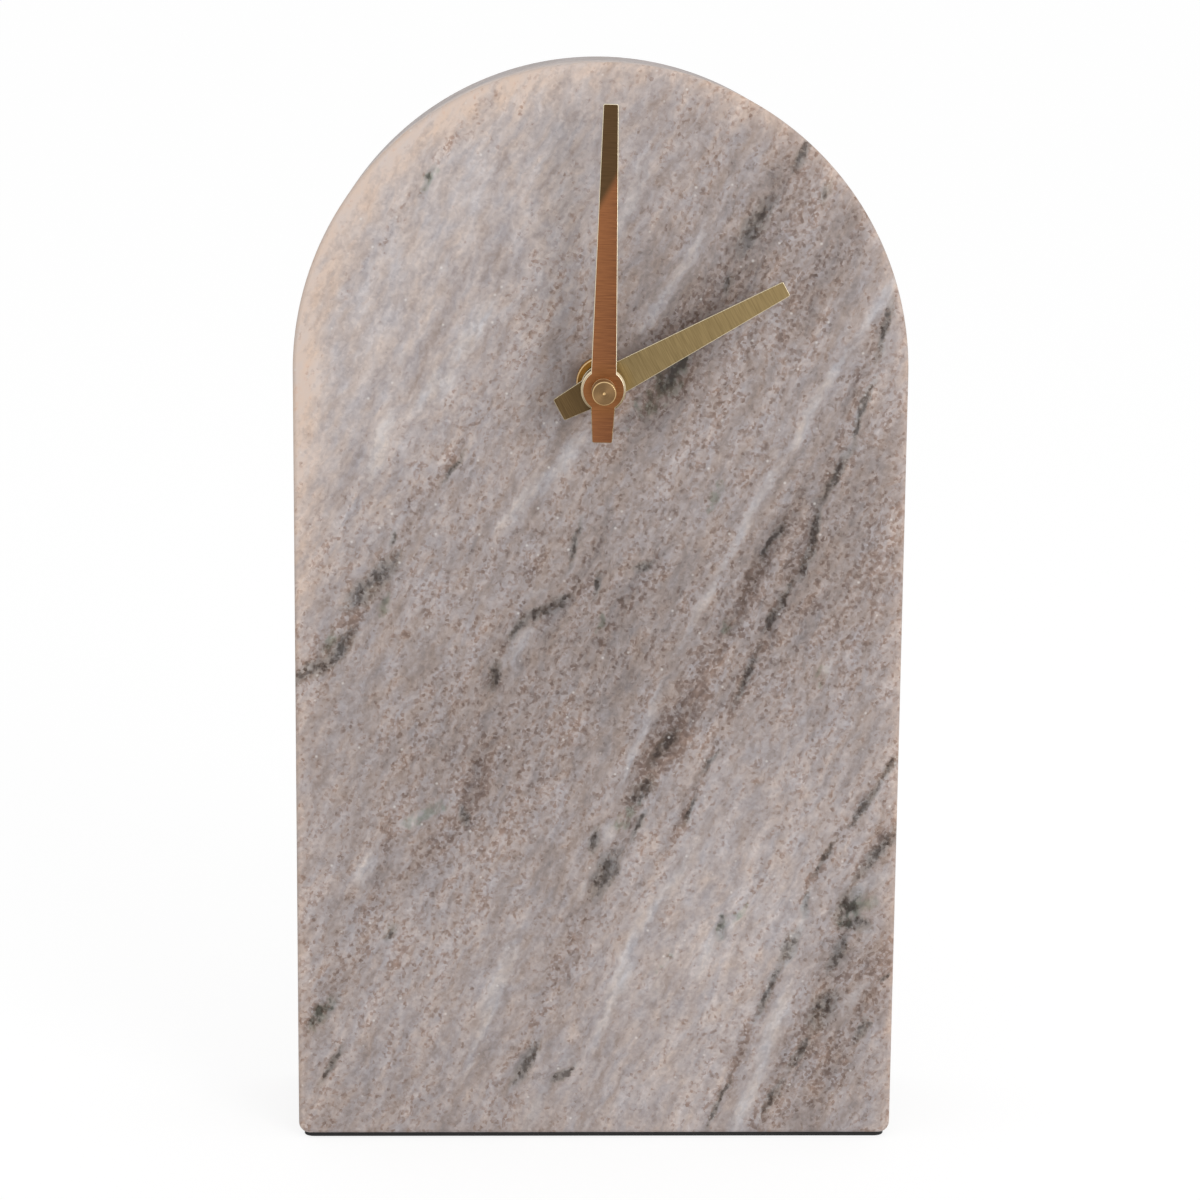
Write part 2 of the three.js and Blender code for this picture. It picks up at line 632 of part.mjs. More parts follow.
/** Circuit board with its chip under a drop of resin, and the quartz crystal's can. */
function addCircuit(shaft) {
  const board = block(boardLeft, boardBottom, boardRight, boardTop, depth(boardDepth), depth(boardBack));
  const chipAxle = [boardMiddle, (boardBottom + boardTop) / 2];
  const dome = chipDome.map(([outward, high]) => [outward * chipRadius, high * chipHeight]);
  const chip = turned([[0, 0], [chipRadius, 0], ...dome, [0, chipHeight]], facets.small)
    .translate(0, depth(boardBack), 0);
  const crystal = rod(crystalRadius, 0, crystalLength, facets.tiny).rotateX(Math.PI / 2)
    .translate(0, depth(boardBack) + crystalRadius + restGap, 0);
  const crystalPlace = [boardMiddle, chipAxle[1] + chipRadius + crystalGap];
  add(shaft, 'circuit_board', board, boardGreen);
  add(shaft, 'chip_resin', chip, epoxyBlack, chipAxle);
  add(shaft, 'quartz_crystal', crystal, nickel, crystalPlace);
}

/** The AA cell in its bay, and the two contact strips that lead to the board. */
function addBattery(shaft) {
  const nubEnd = innerHalfWidth - contactSpace - restGap;
  const canEnd = nubEnd - cellNubLength;
  const canStart = canEnd - cellLength;
  const rim = cellRadius - cellEdge;
  const cell = turned([
    [0, canStart], [rim, canStart], [cellRadius, canStart + cellEdge], [cellRadius, canEnd - cellEdge],
    [rim, canEnd], [cellNubRadius, canEnd], [cellNubRadius, nubEnd], [0, nubEnd],
  ], facets.medium);
  add(shaft, 'aa_cell', cell.rotateZ(-Math.PI / 2).translate(0, depth(cellDepth), cellHeight), cellJacket);

  const foot = cellHeight - cellRadius / 2;
  const outside = innerHalfWidth - contactWallGap;
  const inside = innerHalfWidth - contactSpace;
  const top = partitionTop + contactRise;
  const [front, back] = [depth(boardBack), depth(boardBack) + contactWidth];
  add(shaft, 'positive_contact', block(inside, foot, outside, top, front, back), nickel);

  const tabRight = boardLeft + contactThickness + restGap;
  const stripTop = partitionTop + contactThickness;
  const halfSpan = contactBulgeSpan / 2;
  const strip = new THREE.Shape([
    [-outside, foot], [-inside, foot], [-inside, cellHeight - halfSpan],
    [contactBulge - inside, cellHeight - halfSpan / 3], [contactBulge - inside, cellHeight + halfSpan / 3],
    [-inside, cellHeight + halfSpan], [-inside, partitionTop], [tabRight, partitionTop], [tabRight, top],
    [tabRight - contactThickness, top], [tabRight - contactThickness, stripTop], [-outside, stripTop],
  ].map(([x, z]) => new THREE.Vector2(x, z)));
  add(shaft, 'negative_contact', plate(strip, front, back), nickel);
}

/** The going train, from the rotor down to the centre wheel. */
function addTrain(shaft) {
  const arborEnd = bridgeBack - restGap;
  const arbor = (front) => rod(pivotRadius, depth(front), depth(arborEnd), facets.tiny);

  const toThird = mesh([0, 0], thirdAxle, teeth.secondsPinion, teeth.thirdWheel, 0);
  const toIntermediate = mesh([0, 0], intermediateAxle, teeth.secondsWheel, teeth.intermediatePinion, 0);
  const toRotor = mesh(intermediateAxle, rotorAxle, teeth.intermediateWheel, teeth.rotor, 0);
  const toCentre = mesh(thirdAxle, [0, 0], teeth.thirdPinion, teeth.centreWheel, 0);

  add(shaft, 'rotor_pinion', joined([
    pinionAt(rotorLayer, teeth.rotor, toRotor.module, toRotor.phase), arbor(restGap),
  ]), whitePlastic, rotorAxle);
  const [magnetFront, magnetBack] = [depth(magnetLayer), depth(magnetLayer + magnetThickness)];
  add(shaft, 'rotor_magnet', ring(
    pivotRadius + runningGap, magnetRadius, magnetFront, magnetBack, facets.medium,
  ), magnetBlack, rotorAxle);
  add(shaft, 'intermediate_wheel', joined([
    wheelAt(rotorLayer, teeth.intermediateWheel, toRotor.module, 0),
    pinionAt(secondsLayer, teeth.intermediatePinion, toIntermediate.module, toIntermediate.phase),
    arbor(restGap),
  ]), whitePlastic, intermediateAxle);
  add(shaft, 'seconds_wheel', joined([
    wheelAt(secondsLayer, teeth.secondsWheel, toIntermediate.module, 0),
    pinionAt(thirdLayer, teeth.secondsPinion, toThird.module, 0), arbor(hourLayer),
  ]), whitePlastic);
  add(shaft, 'third_wheel', joined([
    wheelAt(thirdLayer, teeth.thirdWheel, toThird.module, toThird.phase),
    pinionAt(centreLayer, teeth.thirdPinion, toCentre.module, 0), arbor(restGap),
  ]), whitePlastic, thirdAxle);
  add(shaft, 'centre_wheel', joined(
    [wheelAt(centreLayer, teeth.centreWheel, toCentre.module, toCentre.phase)],
    [rod(minuteArborRadius + runningGap, depth(centreLayer) - cutPast, depth(thirdLayer), facets.small)],
  ), whitePlastic);
}

/** The motion work: minute arbor, reversing wheel, hour wheel, setting stem and knob. */
function addMotionWork(shaft) {
  const toReversing = mesh([0, 0], reversingAxle, teeth.cannonPinion, teeth.reversingWheel, 0);
  const toHour = mesh(reversingAxle, [0, 0], teeth.reversingPinion, teeth.hourWheel, 0);
  const toStem = mesh(reversingAxle, stemAxle, teeth.reversingWheel, teeth.settingPinion, toReversing.phase);

  const collarFront = depth(centreLayer + pinionThickness) - restGap;
  const collarBack = collarFront + clutchCollarThickness;
  const shaftFront = capFront + capTop;
  const collarRadius = minuteArborRadius + clutchCollarWidth;
  const secondsBore = rod(
    pivotRadius + runningGap, depth(hourLayer) - fitGap, collarBack + cutPast, facets.tiny,
  );
  const minuteArbor = joined([
    turned([
      [0, shaftFront], [minuteThreadRadius, shaftFront], [minuteThreadRadius, minuteShoulder],
      [minuteArborRadius, minuteShoulder], [minuteArborRadius, collarFront], [collarRadius, collarFront],
      [collarRadius, collarBack], [0, collarBack],
    ], facets.small),
    pinionAt(motionLayer, teeth.cannonPinion, toReversing.module, 0),
  ], [secondsBore]);
  add(shaft, 'minute_arbor', minuteArbor, turnedBrass);

  const pinionBack = motionLayer + pinionThickness / 2; // inside the reversing wheel
  const reversingPinion = toothedShape(teeth.reversingPinion, toHour.module, 0);
  const postBore = rod(
    pivotRadius + runningGap, depth(hourLayer) - cutPast, depth(centreLayer), facets.tiny,
  );
  add(shaft, 'reversing_wheel', joined([
    wheelAt(motionLayer, teeth.reversingWheel, toReversing.module, toReversing.phase),
    plate(reversingPinion, depth(hourLayer), depth(pinionBack)),
  ], [postBore]), redPlastic, reversingAxle);

  const tubeBack = depth(hourLayer + pinionThickness);
  const tube = ring(hourTubeBore, hourTubeRadius, hourTubeFront, tubeBack, facets.medium);
  const tubeBore = rod(hourTubeBore, depth(0), depth(motionLayer), facets.medium);
  add(shaft, 'hour_wheel', joined(
    [joined([wheelAt(hourLayer, teeth.hourWheel, toHour.module, toHour.phase)], [tubeBore]), tube],
  ), whitePlastic);

  const knobFront = depth(coverBack) + knobGap;
  const stemBack = knobFront + knobHeight / 2;
  add(shaft, 'setting_stem', joined([
    pinionAt(motionLayer, teeth.settingPinion, toStem.module, toStem.phase),
    rod(pivotRadius, depth(restGap), depth(pinionBack), facets.tiny),
    rod(stemRadius, depth(pinionBack), stemBack, facets.small),
  ]), redPlastic, stemAxle);
  add(shaft, 'setting_knob', joined(
    [plate(knobShape(), knobFront, knobFront + knobHeight)],
    [rod(stemRadius + runningGap, knobFront - cutPast, stemBack + runningGap, facets.small)],
  ), blackPlastic, stemAxle);
}

/** Outline of the setting knob: a circle with low ribs for the fingers. */
function knobShape() {
  const points = [];
  for (let i = 0; i < 4 * knobRibs; i += 1) {
    const angle = (i + 0.5) * Math.PI / (2 * knobRibs);
    const radius = i % 4 < 2 ? knobRadius : knobRadius - knobRibHeight;
    points.push(new THREE.Vector2(radius * Math.cos(angle), radius * Math.sin(angle)));
  }
  return new THREE.Shape(points);
}

/** Outline of a hand that points up: a tapered blade and tail through a round boss. */
function handShape({ reach, tail, tipWidth, hubWidth, tailWidth, bossRadius: boss }) {
  const half = hubWidth / 2;
  const meets = (slope) => {
    const square = 1 + slope * slope;
    return (Math.sqrt((half * slope) ** 2 - square * (half * half - boss * boss)) - half * slope) / square;
  };
  const upper = meets((tipWidth / 2 - half) / reach);
  const lower = meets((tailWidth / 2 - half) / tail);
  const [upperAngle, lowerAngle] = [Math.asin(upper / boss), Math.asin(lower / boss)];
  const shape = new THREE.Shape();
  shape.moveTo(-tailWidth / 2, -tail).lineTo(tailWidth / 2, -tail);
  shape.absarc(0, 0, boss, -lowerAngle, upperAngle);
  shape.lineTo(tipWidth / 2, reach).lineTo(-tipWidth / 2, reach);
  shape.absarc(0, 0, boss, Math.PI - upperAngle, Math.PI + lowerAngle);
  return shape;
}

/** Both hands on their bushes, and the cap that holds the minute hand. */
function addHands(shaft) {
  const hourBore = hourTubeRadius + fitGap;
  const minuteBore = minuteThreadRadius + fitGap;
  const hour = new THREE.Group();
  hour.rotation.y = THREE.MathUtils.degToRad(hourAngle);
  const minute = new THREE.Group();
  minute.rotation.y = THREE.MathUtils.degToRad(minuteAngle);
  shaft.add(hour, minute);

  add(hour, 'hour_hand', joined(
    [plate(handShape(hourHand), hourBladeFront, hourBladeBack)],
    [rod(hourBore, hourBladeFront - cutPast, hourBladeBack + cutPast, facets.medium)],
  ), brushedBrass);
  add(hour, 'hour_hand_bush', ring(
    hourBore, hourBore + hourBushWall, hourBladeBack, hourBladeBack + hourBushLength, facets.medium,
  ), turnedBrass);
  add(minute, 'minute_hand', joined(
    [plate(handShape(minuteHand), minuteBladeFront, minuteBladeBack)],
    [rod(minuteBore, minuteBladeFront - cutPast, minuteBladeBack + cutPast, facets.medium)],
  ), brushedBrass);
  add(minute, 'minute_hand_bush', ring(
    minuteBore, minuteBushRadius, minuteBladeBack, minuteBladeBack + minuteBushLength, facets.medium,
  ), turnedBrass);
  const holeEnd = capFront + capTop - restGap;
  add(minute, 'hand_cap', turned([
    [0, capFront], [capRadius - capChamfer, capFront], [capRadius, capFront + capChamfer],
    [capRadius, capBack], [minuteBore, capBack], [minuteBore, holeEnd], [0, holeEnd],
  ], facets.medium), turnedBrass);
}

const shaftAxis = new THREE.Group();
shaftAxis.position.z = shaftHeight;
clock.add(shaftAxis);
addStand();
addFixing(shaftAxis);
addCase(shaftAxis);
addBridge(shaftAxis);
addMotor(shaftAxis);
addCircuit(shaftAxis);
addBattery(shaftAxis);
addTrain(shaftAxis);
addMotionWork(shaftAxis);
addHands(shaftAxis);

export default clock;
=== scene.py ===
"""Marble table clock: the finished look of every piece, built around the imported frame.

An arched slab of streaked marble stands on a thin black pad. Two brushed brass hands turn in
front of it on a battery quartz movement, which sits in a recess in the slab's back.
Everything is in metres, +Z up, and the clock faces -Y. Patterns are written in millimetres.
"""

from __future__ import annotations

import logging
import math
from contextlib import contextmanager
from dataclasses import dataclass
from enum import Enum
from typing import Callable, Iterable, Iterator, Sequence

import bmesh
import bpy
from mathutils import Matrix, Vector


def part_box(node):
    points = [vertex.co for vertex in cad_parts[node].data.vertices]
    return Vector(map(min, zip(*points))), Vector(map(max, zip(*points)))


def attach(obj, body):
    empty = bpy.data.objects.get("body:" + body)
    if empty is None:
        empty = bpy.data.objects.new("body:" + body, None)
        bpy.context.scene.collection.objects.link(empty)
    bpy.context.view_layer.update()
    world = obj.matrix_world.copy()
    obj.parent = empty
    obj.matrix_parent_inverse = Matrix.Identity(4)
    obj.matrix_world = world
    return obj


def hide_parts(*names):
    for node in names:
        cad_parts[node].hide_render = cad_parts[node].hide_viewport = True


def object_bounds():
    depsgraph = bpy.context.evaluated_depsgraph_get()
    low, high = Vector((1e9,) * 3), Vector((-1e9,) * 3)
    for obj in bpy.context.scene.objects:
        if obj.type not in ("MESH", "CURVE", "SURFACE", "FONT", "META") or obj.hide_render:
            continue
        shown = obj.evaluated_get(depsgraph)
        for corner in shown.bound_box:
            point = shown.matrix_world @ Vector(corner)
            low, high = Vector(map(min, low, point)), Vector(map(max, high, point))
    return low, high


Piece = bpy.types.Object
Tree = bpy.types.NodeTree
Node = bpy.types.Node
Socket = bpy.types.NodeSocket

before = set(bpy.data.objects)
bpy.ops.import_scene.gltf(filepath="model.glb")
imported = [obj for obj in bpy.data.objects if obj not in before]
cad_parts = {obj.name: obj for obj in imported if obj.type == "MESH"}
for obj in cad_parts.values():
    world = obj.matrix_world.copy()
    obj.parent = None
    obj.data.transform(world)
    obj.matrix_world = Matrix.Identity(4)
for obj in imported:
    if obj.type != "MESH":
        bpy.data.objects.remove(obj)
CAD_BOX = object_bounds()

LOG = logging.getLogger("table_clock")
MM = 0.001
# Two places nearer than this count as one.
NEAR = 0.01 * MM
# A wave texture of scale 1 has a band every 0.314 units.
BANDS = 0.314
UPRIGHT = (math.pi / 2, 0, 0)


# Small helpers for modelling by hand

def deselect_all() -> None:
    """Leaves nothing selected, so that an operator acts on the new piece alone."""
    bpy.ops.object.select_all(action="DESELECT")


def activate(piece: Piece) -> None:
    """Makes a piece the only selected and active object."""
    deselect_all()
    piece.select_set(True)
    bpy.context.view_layer.objects.active = piece


@contextmanager
def editing(piece: Piece) -> Iterator[None]:
    """Opens a piece in edit mode with all of it selected, and closes it again."""
    activate(piece)
    bpy.ops.object.mode_set(mode="EDIT")
    bpy.ops.mesh.select_all(action="SELECT")
    yield
    bpy.ops.object.mode_set(mode="OBJECT")


def settle(piece: Piece, name: str = "") -> Piece:
    """Moves a piece's place, turn and scale into its mesh.

    Args:
        piece: the object, which may be moved, turned or scaled.
        name: its new name, if it gets one.

    Returns:
        The same object, at the origin.
    """
    activate(piece)
    bpy.ops.object.transform_apply(location=True, rotation=True, scale=True)
    if name:
        piece.name = name
        piece.data.name = name
    return piece


def pick(piece: Piece, kind: str, wanted: Callable[[bmesh.types.BMVert], bool]) -> None:
    """Selects, in edit mode, the vertices, edges or faces that a test accepts.

    Args:
        piece: the object in edit mode.
        kind: "VERT", "EDGE" or "FACE".
        wanted: test of one vertex, edge or face.
    """
    bpy.ops.mesh.select_mode(type=kind)
    bpy.ops.mesh.select_all(action="DESELECT")
    mesh = bmesh.from_edit_mesh(piece.data)
    for part in {"VERT": mesh.verts, "EDGE": mesh.edges, "FACE": mesh.faces}[kind]:
        if wanted(part):
            part.select_set(True)
    mesh.select_flush_mode()
    bmesh.update_edit_mesh(piece.data)


def runs_along(edge: bmesh.types.BMEdge, axis: int) -> bool:
    """Whether an edge is parallel to the X, Y or Z axis, counted from 0."""
    way = edge.verts[1].co - edge.verts[0].co
    return abs(way[axis]) > 0.999 * way.length


def apply_modifier(piece: Piece, kind: str, **settings: object) -> Piece:
    """Adds a modifier with its settings and applies it.

    Args:
        piece: the object that is changed.
        kind: the modifier's type, such as BEVEL.
        settings: values of the modifier's properties.

    Returns:
        The same object.
    """
    activate(piece)
    modifier = piece.modifiers.new(kind.title(), kind)
    for name, value in settings.items():
        setattr(modifier, name, value)
    bpy.ops.object.modifier_apply(modifier=modifier.name)
    return piece


def combine(piece: Piece, tool: Piece, operation: str) -> Piece:
    """Joins or cuts a piece with a tool shape, which is then deleted.

    Args:
        piece: the object that stays.
        tool: the object that is joined on or cut away.
        operation: "UNION" or "DIFFERENCE".

    Returns:
        The piece.
    """
    apply_modifier(piece, "BOOLEAN", operation=operation, object=tool, solver="EXACT")
    bpy.data.objects.remove(tool)
    return piece


def smooth(piece: Piece, angle: float = 35) -> Piece:
    """Points the faces outwards, smooths edges below an angle in degrees and keeps flats flat."""
    with editing(piece):
        bpy.ops.mesh.normals_make_consistent(inside=False)
    bpy.ops.object.shade_smooth_by_angle(angle=math.radians(angle))
    return apply_modifier(piece, "WEIGHTED_NORMAL", keep_sharp=True)


def ease_edges(
    piece: Piece, width: float, segments: int = 2, angle: float = 40, clamp: bool = True,
) -> Piece:
    """Breaks every sharp edge of a piece and smooths its shading.

    Args:
        piece: the object.
        width: how far the bevel reaches from the edge, in metres.
        segments: steps across the bevel.
        angle: edges that turn by more than this many degrees are sharp.
        clamp: whether short edges hold the width back.

    Returns:
        The same object.
    """
    apply_modifier(
        piece, "BEVEL", width=width, segments=segments, limit_method="ANGLE",
        angle_limit=math.radians(angle), use_clamp_overlap=clamp, loop_slide=clamp,
        miter_outer="MITER_ARC" if clamp else "MITER_SHARP",
    )
    return smooth(piece)


def turn(
    name: str, profile: Sequence[tuple[float, float]], centre: tuple[float, float], steps: int = 96,
) -> Piece:
    """Turns a piece about a line along Y, as on a lathe.

    Args:
        name: the piece's name.
        profile: (radius, y) points in metres. The first one's radius is above zero. Where the
            last radius is zero, the first ring is closed by a flat face, and otherwise the last
            point is the first one again.
        centre: x and z of the axis.
        steps: corners of one full turn.

    Returns:
        The new object.
    """
    (radius, y), solid = profile[0], profile[-1][0] == 0
    deselect_all()
    bpy.ops.mesh.primitive_circle_add(
        vertices=steps, radius=radius, fill_type="NGON" if solid else "NOTHING",
        location=(centre[0], y, centre[1]), rotation=UPRIGHT,
    )
    piece = settle(bpy.context.active_object, name)
    with editing(piece):
        bpy.ops.mesh.select_mode(type="EDGE")
        bpy.ops.mesh.select_all(action="SELECT")
        for next_radius, next_y in profile[1:]:
            bpy.ops.mesh.extrude_edges_move(TRANSFORM_OT_translate={"value": (0, next_y - y, 0)})
            share = next_radius / radius
            bpy.ops.transform.resize(
                value=(share, 1, share), center_override=(centre[0], next_y, centre[1]),
            )
            radius, y = next_radius or radius, next_y
        bpy.ops.mesh.select_all(action="SELECT")
        bpy.ops.mesh.remove_doubles(threshold=0.002 * MM)
    return smooth(piece)


def rod(
    name: str, radius: float, front: float, back: float, centre: tuple[float, float], steps: int = 64,
) -> Piece:
    """A plain round bar along Y, used as a tool for bores and bosses."""
    return turn(name, [(radius, back), (radius, front), (0, front)], centre, steps)


def rounded_block(
    name: str, low: Vector, high: Vector, corner: float, segments: int = 8, axis: int = 1,
) -> Piece:
    """A block whose four edges along one axis are rounded.

    Args:
        name: the piece's name.
        low: its lowest corner.
        high: its highest corner.
        corner: radius of the rounded edges, in metres.
        segments: steps round each corner.
        axis: 0, 1 or 2 for X, Y or Z.

    Returns:
        The new object.
    """
    deselect_all()
    bpy.ops.mesh.primitive_cube_add(size=1, location=(low + high) / 2, scale=high - low)
    piece = settle(bpy.context.active_object, name)
    with editing(piece):
        pick(piece, "EDGE", lambda edge: runs_along(edge, axis))
        bpy.ops.mesh.bevel(offset=corner, segments=segments, affect="EDGES")
    return piece


def refined_copy(node: str, name: str, edge: float, segments: int = 2) -> Piece:
    """A copy of a construction node with its flat faces joined and its edges broken.

    Args:
        node: the node that is copied.
        name: the new piece's name.
        edge: width of the broken edges, in metres.
        segments: steps across each bevel.

    Returns:
        The new object.
    """
    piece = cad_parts[node].copy()
    piece.data = piece.data.copy()
    piece.parent = None
    for key in list(piece.keys()):
        del piece[key]
    bpy.context.scene.collection.objects.link(piece)
    piece.name = name
    piece.data.name = name
    with editing(piece):
        bpy.ops.mesh.remove_doubles(threshold=0.005 * MM)
        bpy.ops.mesh.dissolve_limited(angle_limit=math.radians(1))
    return ease_edges(piece, edge, segments, 30)


def middle_of(node: str) -> tuple[float, float]:
    """x and z of the middle of a construction node's box."""
    low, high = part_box(node)
    return (low.x + high.x) / 2, (low.z + high.z) / 2


def radius_of(node: str) -> float:
    """Half the width of a construction node's box along X."""
    low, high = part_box(node)
    return (high.x - low.x) / 2


HOUR_AXIS = middle_of("hour_wheel")
AXIS_MM = (HOUR_AXIS[0] / MM, HOUR_AXIS[1] / MM)


def off_axis(face: bpy.types.MeshPolygon) -> float:
    """How far a face's middle lies from the hands' axis."""
    return math.hypot(face.center.x - HOUR_AXIS[0], face.center.z - HOUR_AXIS[1])


def ring(
    name: str, node: str, bore: float, front: float, back: float, inner: float = 0,
) -> Piece:
    """A turned ring on the hands' axis, as wide and deep as a construction node.

    Args:
        name: the ring's name.
        node: the node that gives its outer radius and its depth.
        bore: radius of its hole.
        front: width of its broken edge in front, outside.
        back: width of its broken edge behind, outside.
        inner: width of its broken edge in front, at the hole.

    Returns:
        The new object.
    """
    (low, high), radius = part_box(node), radius_of(node)
    profile = [
        (bore, high.y), (radius - back, high.y), (radius, high.y - back), (radius, low.y + front),
        (radius - front, low.y), (bore + inner, low.y), (bore, low.y + inner),
    ]
    return turn(name, [*dict.fromkeys(profile), profile[0]], HOUR_AXIS)


# Small helpers for finishes

def linear(colour: str) -> tuple[float, float, float, float]:
    """A colour written as sRGB hex, such as #b9aca3, as linear red, green, blue and alpha."""
    channels = [int(colour[i:i + 2], 16) / 255 for i in (1, 3, 5)]
    red, green, blue = (c / 12.92 if c <= 0.04045 else ((c + 0.055) / 1.055) ** 2.4 for c in channels)
    return red, green, blue, 1.0


def add_node(
    tree: Tree, kind: str, inputs: dict[int | str, object] | None = None, **settings: object,
) -> Node:
    """Adds a node, with its settings, values and links.

    Args:
        tree: the node tree.
        kind: the node's type, without ShaderNode in front of it.
        inputs: value, sRGB hex colour, or node or output to link, by the input's number or name.
        settings: values of the node's properties.

    Returns:
        The new node.
    """
    node = tree.nodes.new(kind if kind.startswith("NodeGroup") else f"ShaderNode{kind}")
    for name, value in settings.items():
        setattr(node, name, value)
    for key, value in (inputs or {}).items():
        socket = node.inputs[key]
        if isinstance(value, Node):
            tree.links.new(value.outputs[0], socket)
        elif isinstance(value, Socket):
            tree.links.new(value, socket)
        else:
            socket.default_value = linear(value) if isinstance(value, str) else value
    return node


def weighted_sum(
    tree: Tree, start: object, patterns: Iterable[tuple[object, float]],
) -> object:
    """A start value, number or node, with each pattern added to it times its weight."""
    for pattern, weight in patterns:
        start = add_node(tree, "Math", {0: pattern, 1: weight, 2: start}, operation="MULTIPLY_ADD")
    return start


@dataclass(frozen=True)
class Finish:
    """What all finishes share: a name for the real material and the record's slot for it."""

    name: str
    slot: str

    def material(self) -> bpy.types.Material:
        """The finish as a node material, made once under its name."""
        made = bpy.data.materials.get(self.name)
        if made:
            return made
        made = bpy.data.materials.new(self.name)
        made.use_nodes = True
        tree = made.node_tree
        tree.nodes.clear()
        shader = add_node(tree, "BsdfPrincipled")
        add_node(tree, "OutputMaterial", {"Surface": shader})
        self.paint(tree, shader)
        return made

    def paint(self, tree: Tree, shader: Node) -> None:
        """Adds this finish's pattern to the shader."""
        raise NotImplementedError

    @staticmethod
    def in_millimetres(tree: Tree) -> Node:
        """Object coordinates in millimetres, so that a scale is one over a real size."""
        place = add_node(tree, "TexCoord").outputs["Object"]
        return add_node(tree, "VectorMath", {0: place, "Scale": 1 / MM}, operation="SCALE")

    @staticmethod
    def lay(
        tree: Tree, shader: Node, colour: tuple[object, object, object],
        gloss: float | tuple[object, float, float], relief: tuple[object, float, float] | None = None,
        metallic: float = 0,
    ) -> None:
        """Lays colour, gloss and relief on the shader.

        Args:
            tree: the node tree.
            shader: the shader.
            colour: pattern, and the colours, hex or node, where it is 0 and 1.
            gloss: roughness, or a pattern and the roughness where it is 0 and 1.
            relief: pattern, its strength, and its height in millimetres.
            metallic: 1 for bare metal.
        """
        share, first, second = colour
        laid = add_node(tree, "Mix", {0: share, 6: first, 7: second}, data_type="RGBA").outputs[2]
        tree.links.new(laid, shader.inputs["Base Color"])
        if isinstance(gloss, float):
            shader.inputs["Roughness"].default_value = gloss
        else:
            pattern, least, most = gloss
            rough = add_node(tree, "MapRange", {"Value": pattern, "To Min": least, "To Max": most})
            tree.links.new(rough.outputs[0], shader.inputs["Roughness"])
        if relief:
            pattern, strength, height = relief
            bump = add_node(
                tree, "Bump", {"Strength": strength, "Distance": height * MM, "Height": pattern},
            )
            tree.links.new(bump.outputs[0], shader.inputs["Normal"])
        shader.inputs["Metallic"].default_value = metallic


# The stone

class Mineral(Enum):
    """What a vein, streak or spot in the stone is made of."""

    CLAY = "grey clay haze"
    MICA = "dark mica"
    CHLORITE = "green chlorite"
    IRON = "brown iron stain"
    CALCITE = "pale calcite"


